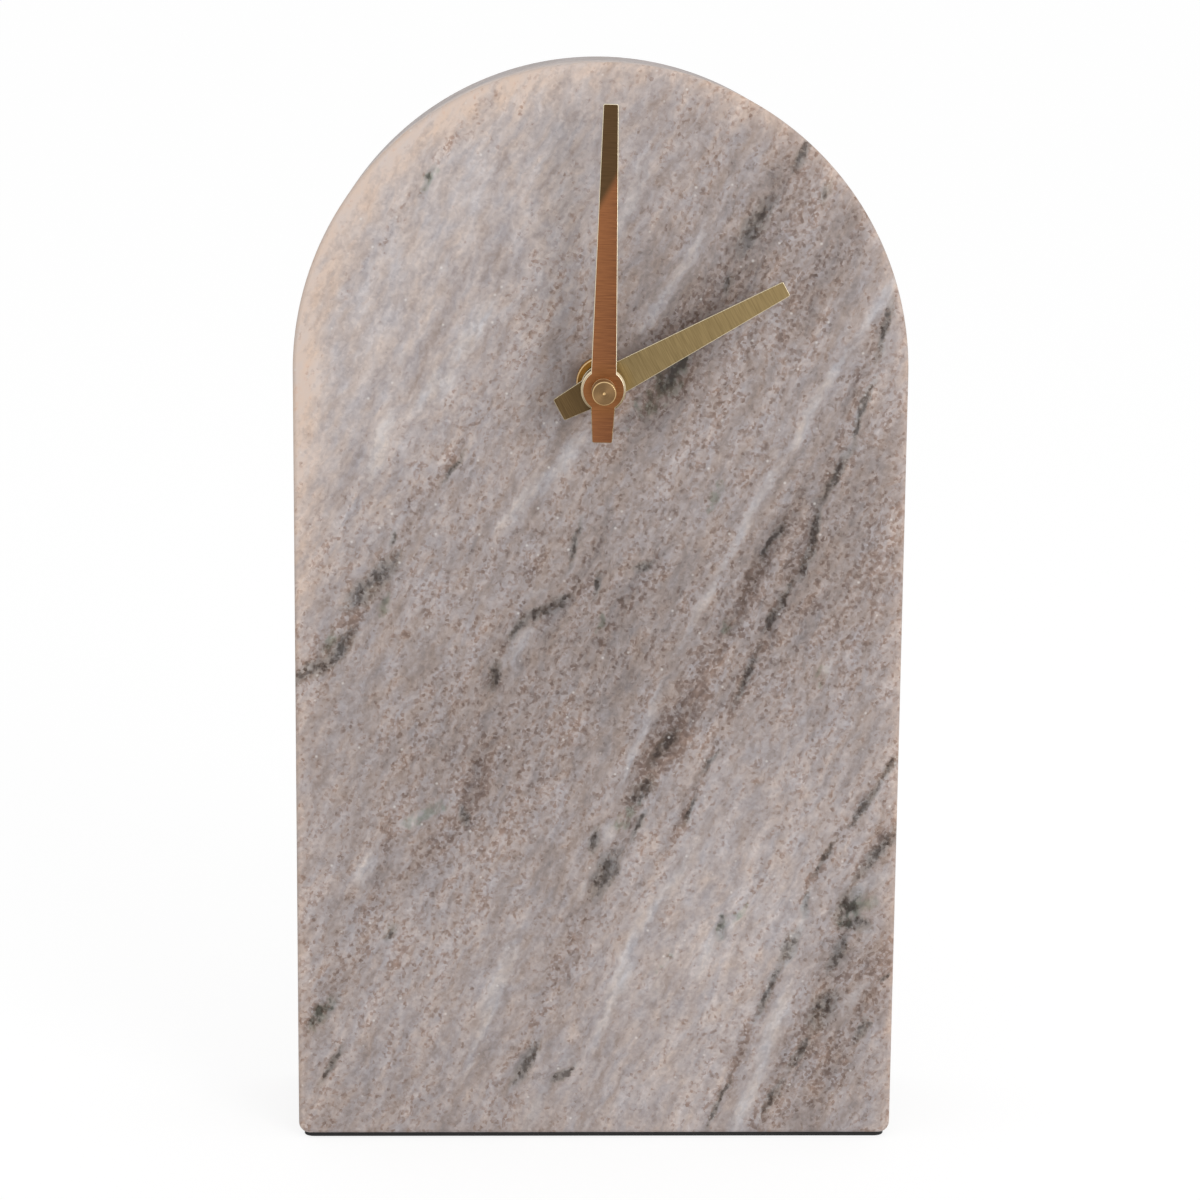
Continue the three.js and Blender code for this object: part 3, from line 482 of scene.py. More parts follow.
# Each vein's width and then its points, which are x and z, in millimetres in the clock's own
# frame, as it shows on the stone's front.
VEINS: dict[Mineral, tuple[tuple, ...]] = {
    Mineral.CLAY: (
        (3.2, (56, 172), (52, 160), (48, 146), (42, 128), (38, 115), (31, 99), (26, 88)),
        (3.8, (38, 131), (31, 117), (22, 99)), (5, (19, 91), (9, 74), (0, 53), (-10, 29), (-19, 6)),
        (6.5, (61, 68), (51, 51), (46, 28), (38, 11), (31, -2)), (6, (60, 42), (52, 24), (42, 2)),
        (4.4, (-21, 82), (-27, 68), (-38, 54)), (5, (-39, 122), (-51, 104), (-61, 93)),
        (3.6, (-4, 114), (-17, 103), (-23, 92)), (2.8, (11, 121), (0, 102)),
        (9, (42, 208), (30, 184), (9, 148)), (7, (52, 192), (37, 164)),
        (3.2, (-20, 213), (-33, 195), (-49, 172)), (4, (-40, 66), (-47, 42), (-59, 22)),
        (2, (-23, 149), (-41, 121)), (2.6, (41, 44), (32, 24), (22, 0)),
        (2.2, (60, 80), (49, 64), (41, 47)), (2, (24, 83), (14, 60)), (2.2, (4, 131), (-8, 108)),
        (2.4, (36, 61), (30, 51)), (3, (-4, 21), (-12, 6)),
    ),
    Mineral.MICA: (
        (3.6, (-40.8, 119), (-44.5, 114), (-48.3, 110.4)), (1.2, (-41, 124.3), (-41.2, 122.6)),
        (3, (-49.5, 104), (-53, 99.2), (-60, 94.8)), (1.2, (-27.3, 139.8), (-30.5, 135)),
        (2.2, (-6.8, 112), (-9.6, 109.8), (-13, 108)), (1.7, (-14.4, 107.2), (-16.8, 104.2)),
        (2, (-20, 98.6), (-21, 94.6)), (1.5, (9.8, 119.3), (7.4, 117.8)),
        (1.2, (-0.6, 116), (-0.8, 112.4)), (1.8, (56, 169), (53.4, 160)), (1.4, (53, 154), (50, 144)),
        (2, (49.2, 141), (43.5, 131.2)), (1.9, (42.7, 128), (41.5, 122), (40.2, 117)),
        (1.7, (38.4, 115), (36, 110.4), (33, 106)), (1.3, (30.8, 100), (28.2, 91.4)),
        (1.3, (35.5, 126), (32.5, 120.6)), (1, (23.8, 80.6), (21.4, 77)),
        (2.4, (14.6, 84), (11.4, 78.6)), (3, (10.4, 73.6), (7.6, 71.2)), (1.4, (9.7, 68), (7.6, 63.4)),
        (1.1, (19.6, 71), (17.6, 66.4)), (1.8, (59, 78.4), (57.4, 75)), (1.7, (56.6, 74), (51.4, 66.6)),
        (1.1, (47.4, 61.6), (44.4, 55.6)), (1.1, (43, 51.6), (41.8, 47.4)),
        (2.4, (59.5, 65), (53, 56.4)), (3.4, (51.6, 51.4), (49.8, 47.4), (53.2, 45.6)),
        (2.2, (49.6, 42), (47.4, 36)), (4, (47.4, 28.4), (44.6, 24.6)), (1.8, (42.6, 20), (40, 15.4)),
        (2, (37.6, 10.6), (35, 5.4)), (2.7, (39.6, 42), (37.6, 37.6)), (1.5, (36.8, 36), (32.8, 26)),
        (1, (27, 12), (23.4, 3)), (1.8, (55, 24), (53.4, 21.4)), (1, (58.7, 34), (57.8, 33)),
        (2, (-0.2, 64.2), (-0.6, 60.6)), (4, (3, 58.4), (0.6, 53.4)),
        (1.8, (-27.5, 68.6), (-27.2, 66.4)), (2.6, (-53.4, 28.6), (-57, 24.4)),
        (1.4, (-52, 19.2), (-54.8, 12.6)), (2.4, (-12, 18.6), (-15.4, 11.4)),
        (1.3, (-4.8, 15.6), (-7.8, 12)), (2.6, (25.6, 45), (25.2, 42.4)),
        (4, (31.4, 188), (27.6, 182.4)), (1.7, (24.7, 175), (24.2, 172.8)), (2, (39, 201), (37, 197)),
        (1.8, (43.4, 193.2), (42.6, 190.8)), (1.3, (-32.6, 195), (-34.4, 191.6)),
        (2.4, (18, 160.6), (12.4, 154.6)), (2, (-41.2, 43.4), (-42, 42)), (1, (-3.4, 127), (-6, 119)),
    ),
    Mineral.CHLORITE: (
        (3.6, (-51.8, 104.6), (-54, 101)), (3, (-42, 112.4), (-43, 109)),
        (3, (23.8, 134.4), (21.8, 129.4)), (2.4, (0.8, 108), (0.2, 104.8)),
        (2.4, (25.4, 107), (24.6, 104)), (2.4, (44.4, 98), (43.6, 94.6)), (4, (7.6, 69), (4.6, 65.4)),
        (3, (-30.4, 70.6), (-38.6, 65.2)), (2.2, (30.6, 49.6), (27.6, 44.6)),
        (3, (25.8, 45.4), (25, 42)), (5, (54.6, 51.2), (50, 46.6)), (6.5, (18, 160.6), (6.5, 147.5)),
        (3, (-32.2, 194.6), (-34.2, 191.4)), (3.2, (-53, 29.4), (-57.6, 23)),
        (2.4, (15, 39.6), (12.8, 36.4)),
    ),
    Mineral.IRON: (
        (2, (-48, 107.4), (-50, 101.8)), (1.7, (-59.2, 105.4), (-59.6, 103.8)),
        (1.4, (-36, 132.6), (-38.8, 128.6)), (7, (18, 91), (9.4, 75)), (3, (34, 122), (28, 110)),
        (2.6, (59, 65), (56, 62.4)), (1.6, (-10.8, 119.8), (-13.6, 116)), (1.3, (19.4, 72), (15, 62.2)),
        (1.4, (47.8, 63), (42.2, 51)), (1.3, (31, 23), (28, 14.6)), (1.5, (-49, 51.8), (-50.4, 50.6)),
        (1.2, (-28.4, 202.6), (-29.4, 199)),
    ),
    Mineral.CALCITE: (
        (2.1, (61, 179), (50, 164), (36, 140), (26, 121)), (1.8, (26, 121), (14, 97), (5, 75)),
        (4.2, (20, 184), (8, 165)), (3, (8.4, 197), (3.4, 184)),
        (4.2, (-22, 169), (-29, 158), (-36, 150)), (4, (-3, 143), (-18, 126)),
        (3.2, (-13.4, 105.4), (-17.6, 99.6)), (2.2, (-11, 113.4), (-13.4, 112.2)),
        (3.6, (-44, 60), (-47, 54)), (2.4, (21, 64), (8, 41)), (3.4, (8.6, 44), (0.6, 21)),
        (3.4, (-16, 42), (-25.6, 15)), (4, (38, 30), (33.6, 14), (26.6, -1)),
        (1.8, (43.6, 53), (37.4, 33)), (2.6, (-8.8, 12), (-15, 1)), (2, (24.6, 43.6), (20, 33)),
        (2.6, (53.6, 31), (49.6, 24.6)), (1.6, (-4.6, 19.4), (-8, 13.4)), (3.4, (56.4, 55), (53, 52.4)),
        (2.4, (13, 32.6), (11.2, 29)), (2.8, (3.4, 65.6), (1.6, 62.6)), (1.6, (-2.4, 54), (-2.8, 51)),
        (1.6, (29.2, 46.6), (27.4, 43.6)), (1.6, (46, 98.6), (44.8, 97.2)), (3, (-42, 146), (-46, 134)),
        (2, (-32.6, 69.4), (-39, 65)),
    ),}


def stretches(mineral: Mineral) -> Iterator[tuple[float, tuple[float, float], float, float]]:
    """Width, middle, angle from upright and half length of each straight stretch of a mineral."""
    for width, *points in VEINS[mineral]:
        for (x0, z0), (x1, z1) in zip(points, points[1:]):
            half = math.hypot(x1 - x0, z1 - z0) / 2 + width / 2
            yield width, ((x0 + x1) / 2, (z0 + z1) / 2), math.atan2(x1 - x0, z1 - z0), half


@dataclass(frozen=True)
class Cloud:
    """One scale of the stone's cloudy pattern.

    The cell is how long its spots are across the beds, through the stone and along the beds, in
    millimetres. The tone is how far it lightens and darkens, in levels of 255.
    """

    cell: tuple[float, float, float]
    tone: float
    detail: float = 2

    def pattern(self, tree: Tree, place: Node) -> Node:
        """Values about a half, at a place whose Z runs along the beds."""
        fine = tuple(1 / side for side in self.cell)
        scaled = add_node(tree, "VectorMath", {0: place, 1: fine}, operation="MULTIPLY")
        return add_node(tree, "TexNoise", {"Vector": scaled, "Scale": 1.0, "Detail": self.detail})


@dataclass(frozen=True)
class Zone:
    """A broad soft patch that is lighter or darker than the rest.

    The middle is x and z, and the reach is across and along the beds, in millimetres. The tone
    is in levels of 255.
    """

    tone: float
    middle: tuple[float, float]
    reach: tuple[float, float]


ZONES = (
    Zone(20, (-36, 184), (20, 40)),
    Zone(12, (-50, 150), (16, 30)),
    Zone(10, (-8, 200), (16, 22)),
    Zone(-13, (12, 160), (13, 18)),
    Zone(-8, (32, 180), (15, 24)),
    Zone(-9, (12.5, 154.5), (4.5, 9)),
    Zone(-13, (2, 104), (26, 24)),
    Zone(-14, (46, 120), (19, 30)),
    Zone(8, (10, 4), (50, 16)),
    Zone(-10, (-26, 78), (18, 18)),
    Zone(12, (26, 44), (20, 34)),
    Zone(-8, (50, 30), (11, 26)),
)


@dataclass(frozen=True)
class HonedMarble(Finish):
    """Streaked beige marble, sawn and honed: matt, grainy, with mica and chlorite veins.

    Beds of the stone run at a steep slant and go through its whole depth. The grain is calcite
    crystals about half a millimetre across. All lengths are in millimetres, and all tones are
    levels of 255.
    """

    lean: float = math.radians(27)
    front: float = -20
    half_width: float = 60
    arch: float = 156
    rim: float = 2.2
    rim_depth: float = 7
    slant: tuple[float, float, float] = (-0.3, 0, 0.55)
    vein_fade: float = 1.45
    level: float = 155.3
    crystal: float = 0.6
    crystal_tone: float = 14
    shades: tuple[tuple[float, str], ...] = (
        (50, "#3c302d"), (85, "#5e534f"), (105, "#716664"), (125, "#867b78"), (145, "#9a8e8b"),
        (165, "#ada2a1"), (185, "#c0b5b3"), (215, "#dbcfcb"),
    )
    clouds: tuple[Cloud, ...] = (
        Cloud((11, 16, 70), 46), Cloud((3, 5, 13), 78), Cloud((1.1, 1.2, 2.2), 62, 3),
    )
    warmth: Cloud = Cloud((2, 3, 6), 0, 5)
    patch: Cloud = Cloud((1.5, 1.7, 2), 0)
    warm: str = "#fff9f0"
    cool: str = "#f6fbff"
    speck: Cloud = Cloud((1.0, 1.1, 1.6), -46, 5)
    speck_tint: str = "#ffeee2"
    glow_tint: str = "#fff6ed"
    green_tint: str = "#e6f4ea"
    mica_tint: str = "#f3fbfb"
    pale_tint: str = "#f8fcff"
    glint_colour: str = "#ece8e4"
    glint_cell: float = 4

    def paint(self, tree: Tree, shader: Node) -> None:
        """Adds up what lightens and darkens the stone, colours that, and tints the minerals."""
        spot = self.in_millimetres(tree)
        beds = self._slanted(tree, spot)
        bent = self._bent(tree, beds)
        along = add_node(
            tree, "Mapping", {"Vector": bent, "Rotation": (0, self.lean, 0)}, vector_type="TEXTURE",
        )
        clouds = [cloud.pattern(tree, along) for cloud in self.clouds]
        broad, streaks, _ = clouds
        clay, mica, chlorite, iron, calcite = (self._presence(tree, bent, each) for each in Mineral)
        cells = add_node(tree, "TexVoronoi", {"Vector": beds, "Scale": 1 / self.crystal}, feature="F1")
        light, brown, dark = add_node(tree, "SeparateColor", {0: cells.outputs["Color"]}).outputs
        patches = self.patch.pattern(tree, beds)
        base = self.level - sum(cloud.tone for cloud in self.clouds) / 2
        zoned = self._zoned(tree, beds, base)
        # A speck stands rather where the stone is dark, so its weight falls with the level.
        by_level = 0.007
        specks = self._grains(tree, 1.05 - by_level * base, 0.45, (
            (self.speck.pattern(tree, along), 0.9), (brown, 0.32), (broad, 0.4), (streaks, 0.5),
            (zoned, -by_level), (clay, 0.1), (iron, 0.2), (calcite, -0.2),
        ))
        flakes = self._grains(tree, 1.78, 0.6, ((dark, 0.35), (mica, 1.0), (patches, 2.0)))
        green = self._grains(tree, 1.5, 0.6, ((light, 0.2), (chlorite, 1.0), (patches, 1.6)))
        pale = self._grains(tree, 1.0, 0.7, ((brown, 0.25), (calcite, 0.9), (streaks, 1.2)))
        # Painted glow at the front's outline and upper left.
        edge = self._painted_glow(tree, spot)
        level = weighted_sum(tree, zoned, (
            *((pattern, cloud.tone) for pattern, cloud in zip(clouds, self.clouds)),
            (specks, self.speck.tone), (light, self.crystal_tone), (clay, -9), (pale, 20),
            (mica, -18), (green, -17), (flakes, -54), (edge, 28),
        ))
        share = add_node(tree, "Math", {0: level, 1: 255.0}, operation="DIVIDE")
        ramp = add_node(tree, "ValToRGB", {"Fac": share})
        stops = ramp.color_ramp.elements
        for place, colour in self.shades:
            stops.new(place / 255).color = linear(colour)
        stops.remove(stops[0])
        stops.remove(stops[-1])

        warmth = self.warmth.pattern(tree, along)
        tint = add_node(tree, "MapRange", {"Value": warmth, "From Min": 0.3, "From Max": 0.7})
        mix = {"data_type": "RGBA"}
        colour = add_node(tree, "Mix", {0: tint, 6: self.cool, 7: self.warm}, **mix).outputs[2]
        for share, tone in (
            (1.0, ramp), (specks, self.speck_tint), (green, self.green_tint), (mica, self.mica_tint),
            (pale, self.pale_tint), (edge, self.glow_tint),
        ):
            inputs = {0: share, 6: colour, 7: tone}
            colour = add_node(tree, "Mix", inputs, blend_type="MULTIPLY", **mix).outputs[2]
        relief = add_node(tree, "TexNoise", {"Vector": beds, "Scale": 1 / self.crystal, "Detail": 2})
        # The painted glints of single crystals are mixed into the colour.
        self.lay(
            tree, shader, (self._painted_glints(tree, spot), colour, self.glint_colour), (light, 0.4, 0.58),
            (relief, 0.12, 0.03),
        )
        shader.inputs["Specular IOR Level"].default_value = 0.35

    def _slanted(self, tree: Tree, spot: Node) -> Node:
        """Coordinates that follow the beds backwards through the stone from its front."""
        depth = add_node(tree, "SeparateXYZ", {0: spot}).outputs["Y"]
        behind = add_node(tree, "Math", {0: depth, 1: self.front}, operation="SUBTRACT")
        inputs = {0: behind, 1: self.slant, 2: spot}
        return add_node(tree, "VectorMath", inputs, operation="MULTIPLY_ADD")

    def _bent(self, tree: Tree, beds: Node) -> Node:
        """Coordinates that wander a little, so that no vein runs straight."""
        for size, reach in ((14, 4), (2.2, 1.8)):
            wander = add_node(tree, "TexNoise", {"Vector": beds, "Scale": 1 / size, "Detail": 2})
            inputs = {0: wander.outputs["Color"], 1: (0.5, 0.5, 0.5)}
            centred = add_node(tree, "VectorMath", inputs, operation="SUBTRACT")
            inputs = {0: centred, 1: (reach,) * 3, 2: beds}
            beds = add_node(tree, "VectorMath", inputs, operation="MULTIPLY_ADD")
        return beds

    @staticmethod
    def _lens() -> bpy.types.ShaderNodeTree:
        """Node group for one leaning lens, made once.

        Returns:
            A group that takes a place, the lens's middle, one over its reach across and along as
            vectors, and the least squared distance so far, and gives the least with this lens.
        """
        made = bpy.data.node_groups.get("lens")
        if made:
            return made
        tree = bpy.data.node_groups.new("lens", "ShaderNodeTree")
        for name in ("Place", "Middle", "Across", "Along"):
            tree.interface.new_socket(name, in_out="INPUT", socket_type="NodeSocketVector")
        for way in ("INPUT", "OUTPUT"):
            tree.interface.new_socket("Least", in_out=way, socket_type="NodeSocketFloat")
        given = add_node(tree, "NodeGroupInput").outputs
        inputs = {0: given["Place"], 1: given["Middle"]}
        away = add_node(tree, "VectorMath", inputs, operation="SUBTRACT")
        squared: object = 0.0
        for side in ("Across", "Along"):
            share = add_node(tree, "VectorMath", {0: away, 1: given[side]}, operation="DOT_PRODUCT")
            inputs = {0: share.outputs["Value"], 1: share.outputs["Value"], 2: squared}
            squared = add_node(tree, "Math", inputs, operation="MULTIPLY_ADD")
        least = add_node(tree, "Math", {0: squared, 1: given["Least"]}, operation="MINIMUM")
        add_node(tree, "NodeGroupOutput", {"Least": least})
        return tree

    def _lensed(
        self, tree: Tree, place: Node, middle: tuple[float, float], angle: float,
        reach: tuple[float, float], least: object,
    ) -> Node:
        """One lens in the tree.

        Args:
            tree: the node tree.
            place: coordinates in millimetres.
            middle: x and z of the lens's middle.
            angle: how far its long side leans from upright.
            reach: from its middle to its rim, across and along.
            least: least squared distance so far.

        Returns:
            The node that gives the least squared distance, which is 1 at a rim.
        """
        across = Vector((math.cos(angle), 0, -math.sin(angle))) / reach[0]
        along = Vector((math.sin(angle), 0, math.cos(angle))) / reach[1]
        inputs = {
            "Place": place, "Middle": (middle[0], 0, middle[1]), "Across": across, "Along": along,
            "Least": least,
        }
        return add_node(tree, "Group", inputs, node_tree=self._lens())

    def _zoned(self, tree: Tree, beds: Node, level: object) -> object:
        """The stone's level with its broad patches added."""
        shares = []
        for zone in ZONES:
            squared = self._lensed(tree, beds, zone.middle, self.lean, zone.reach, 1e6)
            fading = add_node(tree, "Math", {0: squared, 1: -1.0}, operation="MULTIPLY")
            shares.append((add_node(tree, "Math", {0: fading}, operation="EXPONENT"), zone.tone))
        return weighted_sum(tree, level, shares)

    def _presence(self, tree: Tree, bent: Node, mineral: Mineral) -> Node:
        """How much of a mineral its named veins hold: 1 in their middles, 0 well outside them."""
        least: object = 1e6
        for width, middle, angle, half in stretches(mineral):
            reach = (self.vein_fade * width / 2, self.vein_fade * half)
            least = self._lensed(tree, bent, middle, angle, reach, least)
        inputs = {"Value": least, "From Min": 1.0, "From Max": 0.0, "To Max": 1.0}
        return add_node(tree, "MapRange", inputs)

    def _grains(
        self, tree: Tree, limit: float, blur: float,
        patterns: Sequence[tuple[Node | Socket, float]],
    ) -> Node:
        """Grains, which stand where the sum of some weighted patterns is above a limit.

        Args:
            tree: the node tree.
            limit: the sum at which a grain starts.
            blur: how much more makes it full.
            patterns: each pattern with its weight.

        Returns:
            The node that gives the grains, from 0 to 1.
        """
        inputs = {"Value": weighted_sum(tree, -limit, patterns), "From Min": 0.0, "From Max": blur}
        return add_node(tree, "MapRange", inputs, interpolation_type="SMOOTHSTEP")

    def _painted_glow(self, tree: Tree, spot: Node) -> Node:
        """Painted glow: how much the front is painted lighter at its outline and widely round its upper
        left, standing in for light that comes through the stone.
        """
        x, y, z = add_node(tree, "SeparateXYZ", {0: spot}).outputs
        rise = add_node(tree, "Math", {0: z, 1: self.arch}, operation="SUBTRACT")
        rise = add_node(tree, "Math", {0: rise, 1: 0.0}, operation="MAXIMUM")
        flat = add_node(tree, "CombineXYZ", {"X": x, "Z": rise})
        reach = add_node(tree, "VectorMath", {0: flat}, operation="LENGTH").outputs["Value"]
        outward = add_node(tree, "Math", {0: reach, 1: self.half_width}, operation="SUBTRACT")
        ahead = add_node(tree, "Math", {0: self.front, 1: y}, operation="SUBTRACT")
        fades = []
        for away, length in ((outward, self.rim), (ahead, self.rim_depth)):
            fading = add_node(tree, "Math", {0: away, 1: 1 / length}, operation="MULTIPLY")
            fades.append(add_node(tree, "Math", {0: fading}, operation="EXPONENT"))
        rim, lit = fades
        inputs = {"Value": outward, "From Min": -10.5, "From Max": -2.0}
        wide = add_node(tree, "MapRange", inputs, interpolation_type="SMOOTHSTEP")
        glow: object = 0.0
        for lean, start, full, share in ((-0.8, 138.0, 168.0, 0.39), (-1.6, 200.0, 262.0, 0.64)):
            height = weighted_sum(tree, z, ((x, lean),))
            inputs = {"Value": height, "From Min": start, "From Max": full, "To Max": share}
            upper = add_node(tree, "MapRange", inputs)
            glow = add_node(tree, "Math", {0: upper, 1: glow}, operation="ADD")
        shown = add_node(tree, "Math", {0: wide, 1: glow, 2: rim}, operation="MULTIPLY_ADD")
        return add_node(tree, "Math", {0: shown, 1: lit}, operation="MULTIPLY")

    def _painted_glints(self, tree: Tree, spot: Node) -> Node:
        """Painted glints: single crystals painted pale where they would sparkle, several to the square
        centimetre.
        """
        inputs = {"Vector": spot, "Scale": 1 / self.glint_cell}
        away = add_node(tree, "TexVoronoi", inputs, feature="F1").outputs["Distance"]
        inputs = {"Value": away, "From Min": 0.09, "From Max": 0.03, "To Max": 0.45}
        return add_node(tree, "MapRange", inputs)


# Metals

@dataclass(frozen=True)
class BrushedBrass(Finish):
    """Sheet brass brushed across the blade and lacquered, with painted reflections and shading.

    The brush leaves lines a tenth of a millimetre apart; here they are twice as coarse, so that they
    show. A part of each hand is painted darker as a dark reflection, the blade is painted golden near
    the hub as a reflection of it, and its tone carries painted shading along and across it.
    Lengths are in millimetres in the hand's own frame, with X across it and Z towards its tip.
    """

    angle: float
    tones: tuple[str, str]
    shading_slope: tuple[float, float]
    dark_reflection: tuple[str, str]
    dark_reflection_from: float
    dark_reflection_past: float
    dark_reflection_slant: float = 0
    hub_reflection: str = "#a07c34"
    hub_reflection_share: float = 0.4
    hub: tuple[float, float] = AXIS_MM
    brush: tuple[float, float, float] = (0.2, 0.2, 5.0)
    hub_reflection_reach: tuple[float, float] = (6.5, 3.25)

    def paint(self, tree: Tree, shader: Node) -> None:
        """Brush lines across the blade over painted shading along and across it, with painted
        reflections.
        """
        own = add_node(
            tree, "Mapping",
            {"Vector": self.in_millimetres(tree), "Location": (self.hub[0], 0, self.hub[1]),
             "Rotation": (0, self.angle, 0)},
            vector_type="TEXTURE",
        )
        mix = {"data_type": "RGBA"}
        scaled = add_node(tree, "VectorMath", {0: own, 1: self.brush}, operation="MULTIPLY")
        inputs = {"Vector": scaled, "Scale": 1.0, "Detail": 3, "Roughness": 0.6}
        lines = add_node(tree, "TexNoise", inputs)
        contrast = add_node(tree, "MapRange", {"Value": lines, "From Min": 0.3, "From Max": 0.7})
        # Painted shading: the tone rises by the given slope per millimetre across and along the blade.
        inputs = {0: own, 1: (self.shading_slope[0], 0, self.shading_slope[1])}
        rising = add_node(tree, "VectorMath", inputs, operation="DOT_PRODUCT").outputs["Value"]
        tone = add_node(tree, "Math", {0: contrast, 1: rising}, operation="ADD", use_clamp=True)
        plain_tone = add_node(tree, "Mix", {0: tone, 6: self.tones[0], 7: self.tones[1]}, **mix).outputs[2]
        # Painted reflection of the hub: the blade is mixed towards a golden tone near it.
        flat = add_node(tree, "VectorMath", {0: own, 1: (1, 0, 1)}, operation="MULTIPLY")
        away = add_node(tree, "VectorMath", {0: flat}, operation="LENGTH").outputs["Value"]
        start, full = self.hub_reflection_reach
        inputs = {"Value": away, "From Min": start, "From Max": full, "To Max": self.hub_reflection_share}
        near = add_node(tree, "MapRange", inputs)
        plain_tone = add_node(tree, "Mix", {0: near, 6: plain_tone, 7: self.hub_reflection}, **mix).outputs[2]
        # Painted dark reflection: a part of the blade, past a ragged line, takes darker tones.
        dark_reflected = add_node(tree, "Mix", {0: contrast, 6: self.dark_reflection[0], 7: self.dark_reflection[1]}, **mix).outputs[2]
        x, _, z = add_node(tree, "SeparateXYZ", {0: own}).outputs
        ragged = weighted_sum(tree, z, ((x, self.dark_reflection_slant), (lines, 2.0)))
        inputs = {"Value": ragged, "From Min": self.dark_reflection_from, "From Max": self.dark_reflection_past}
        reflection_share = add_node(tree, "MapRange", inputs, interpolation_type="SMOOTHSTEP")
        self.lay(tree, shader, (reflection_share, plain_tone, dark_reflected), (lines, 0.24, 0.42), (lines, 0.25, 0.02), 1)


@dataclass(frozen=True)
class TurnedMetal(Finish):
    """Metal turned on a lathe: fine rings about its axis, which spread a light into a cone.

    The tool's feed leaves rings a few hundredths of a millimetre apart; here they are drawn at a tenth
    or more, so that they show. A painted top light makes the upper side brighter than the lower one by
    a share of the tones. Lengths are in millimetres.
    """

    tones: tuple[str, str] = ("#9a7b45", "#bd9a60")
    line: float = 0.12
    gloss: float = 0.26
    spread: float = 0.5
    top_light: float = 0
    centre: tuple[float, float] = AXIS_MM

    def paint(self, tree: Tree, shader: Node) -> None:
        """Rings by the distance from the axis, and a gloss that is wider across them."""
        inputs = {0: self.in_millimetres(tree), 1: (self.centre[0], 0, self.centre[1])}
        centred = add_node(tree, "VectorMath", inputs, operation="SUBTRACT")
        flat = add_node(tree, "VectorMath", {0: centred, 1: (1, 0, 1)}, operation="MULTIPLY")
        away = add_node(tree, "VectorMath", {0: flat}, operation="LENGTH").outputs["Value"]
        turns = add_node(tree, "Math", {0: away, 1: 1 / self.line}, operation="MULTIPLY")
        rings = add_node(
            tree, "TexNoise", {"W": turns, "Scale": 1.0, "Detail": 2}, noise_dimensions="1D",
        )
        stain = add_node(tree, "TexNoise", {"Vector": centred, "Scale": 0.8, "Detail": 3})
        outward = add_node(tree, "VectorMath", {0: flat}, operation="NORMALIZE")
        rising = add_node(tree, "SeparateXYZ", {0: outward}).outputs["Z"]
        # The rising term is a painted top light: upper sides are drawn lighter.
        tone = weighted_sum(tree, -0.1, ((rings, 0.7), (stain, 0.5), (rising, self.top_light)))
        tone.use_clamp = True
        self.lay(
            tree, shader, (tone, *self.tones), (rings, self.gloss, self.gloss + 0.1),
            (rings, 0.3, 0.01), 1,
        )
        across = add_node(tree, "VectorMath", {0: outward, 1: (0, 1, 0)}, operation="ADD")
        turned = add_node(
            tree, "VectorTransform", {0: across}, convert_from="OBJECT", convert_to="WORLD",
        )
        tree.links.new(turned.outputs[0], shader.inputs["Tangent"])
        shader.inputs["Anisotropic"].default_value = self.spread


@dataclass(frozen=True)
class StampedMetal(Finish):
    """Rolled and stamped sheet or wire: faint rolling lines along X and small stains.

    The lines are one line width apart and twenty times as long.
    """

    tones: tuple[str, str] = ("#a9a7a0", "#c6c4bd")
    roughness: float = 0.3
    line: float = 0.25

    def paint(self, tree: Tree, shader: Node) -> None:
        """Lines and stains in the tone, and stains in the gloss."""
        spot = self.in_millimetres(tree)
        fine = (0.05 / self.line, 1 / self.line, 1 / self.line)
        scaled = add_node(tree, "VectorMath", {0: spot, 1: fine}, operation="MULTIPLY")
        lines = add_node(tree, "TexNoise", {"Vector": scaled, "Scale": 1.0, "Detail": 3})
        stains = add_node(tree, "TexNoise", {"Vector": spot, "Scale": 0.35, "Detail": 4})
        tone = add_node(tree, "Math", {0: lines, 1: stains}, operation="MULTIPLY")
        tone = add_node(tree, "MapRange", {"Value": tone, "From Min": 0.12, "From Max": 0.38})
        self.lay(
            tree, shader, (tone, *self.tones), (stains, self.roughness - 0.06, self.roughness + 0.1),
            (lines, 0.15, 0.01), 1,
        )


# Plastics, rubber and what the movement holds

@dataclass(frozen=True)
class MouldedPlastic(Finish):
    """Injection-moulded plastic with the fine spark texture of its mould.

    Spark texture has grains of about a tenth of a millimetre, drawn here at a quarter.
    """

    tones: tuple[str, str] = ("#1e1e20", "#2a2a2c")
    roughness: float = 0.45
    grain: float = 0.25
    relief: float = 0.02

    def paint(self, tree: Tree, shader: Node) -> None:
        """Grain in the gloss and the relief, and a slow change of tone."""
        spot = self.in_millimetres(tree)
        grain = add_node(tree, "TexNoise", {"Vector": spot, "Scale": 1 / self.grain, "Detail": 2})
        slow = add_node(tree, "TexNoise", {"Vector": spot, "Scale": 0.09, "Detail": 3})
        tone = add_node(tree, "Math", {0: grain, 1: slow}, operation="MULTIPLY")
        tone = add_node(tree, "MapRange", {"Value": tone, "From Min": 0.1, "From Max": 0.4})
        self.lay(
            tree, shader, (tone, *self.tones), (grain, self.roughness - 0.06, self.roughness + 0.1),
            (grain, 0.35, self.relief),
        )


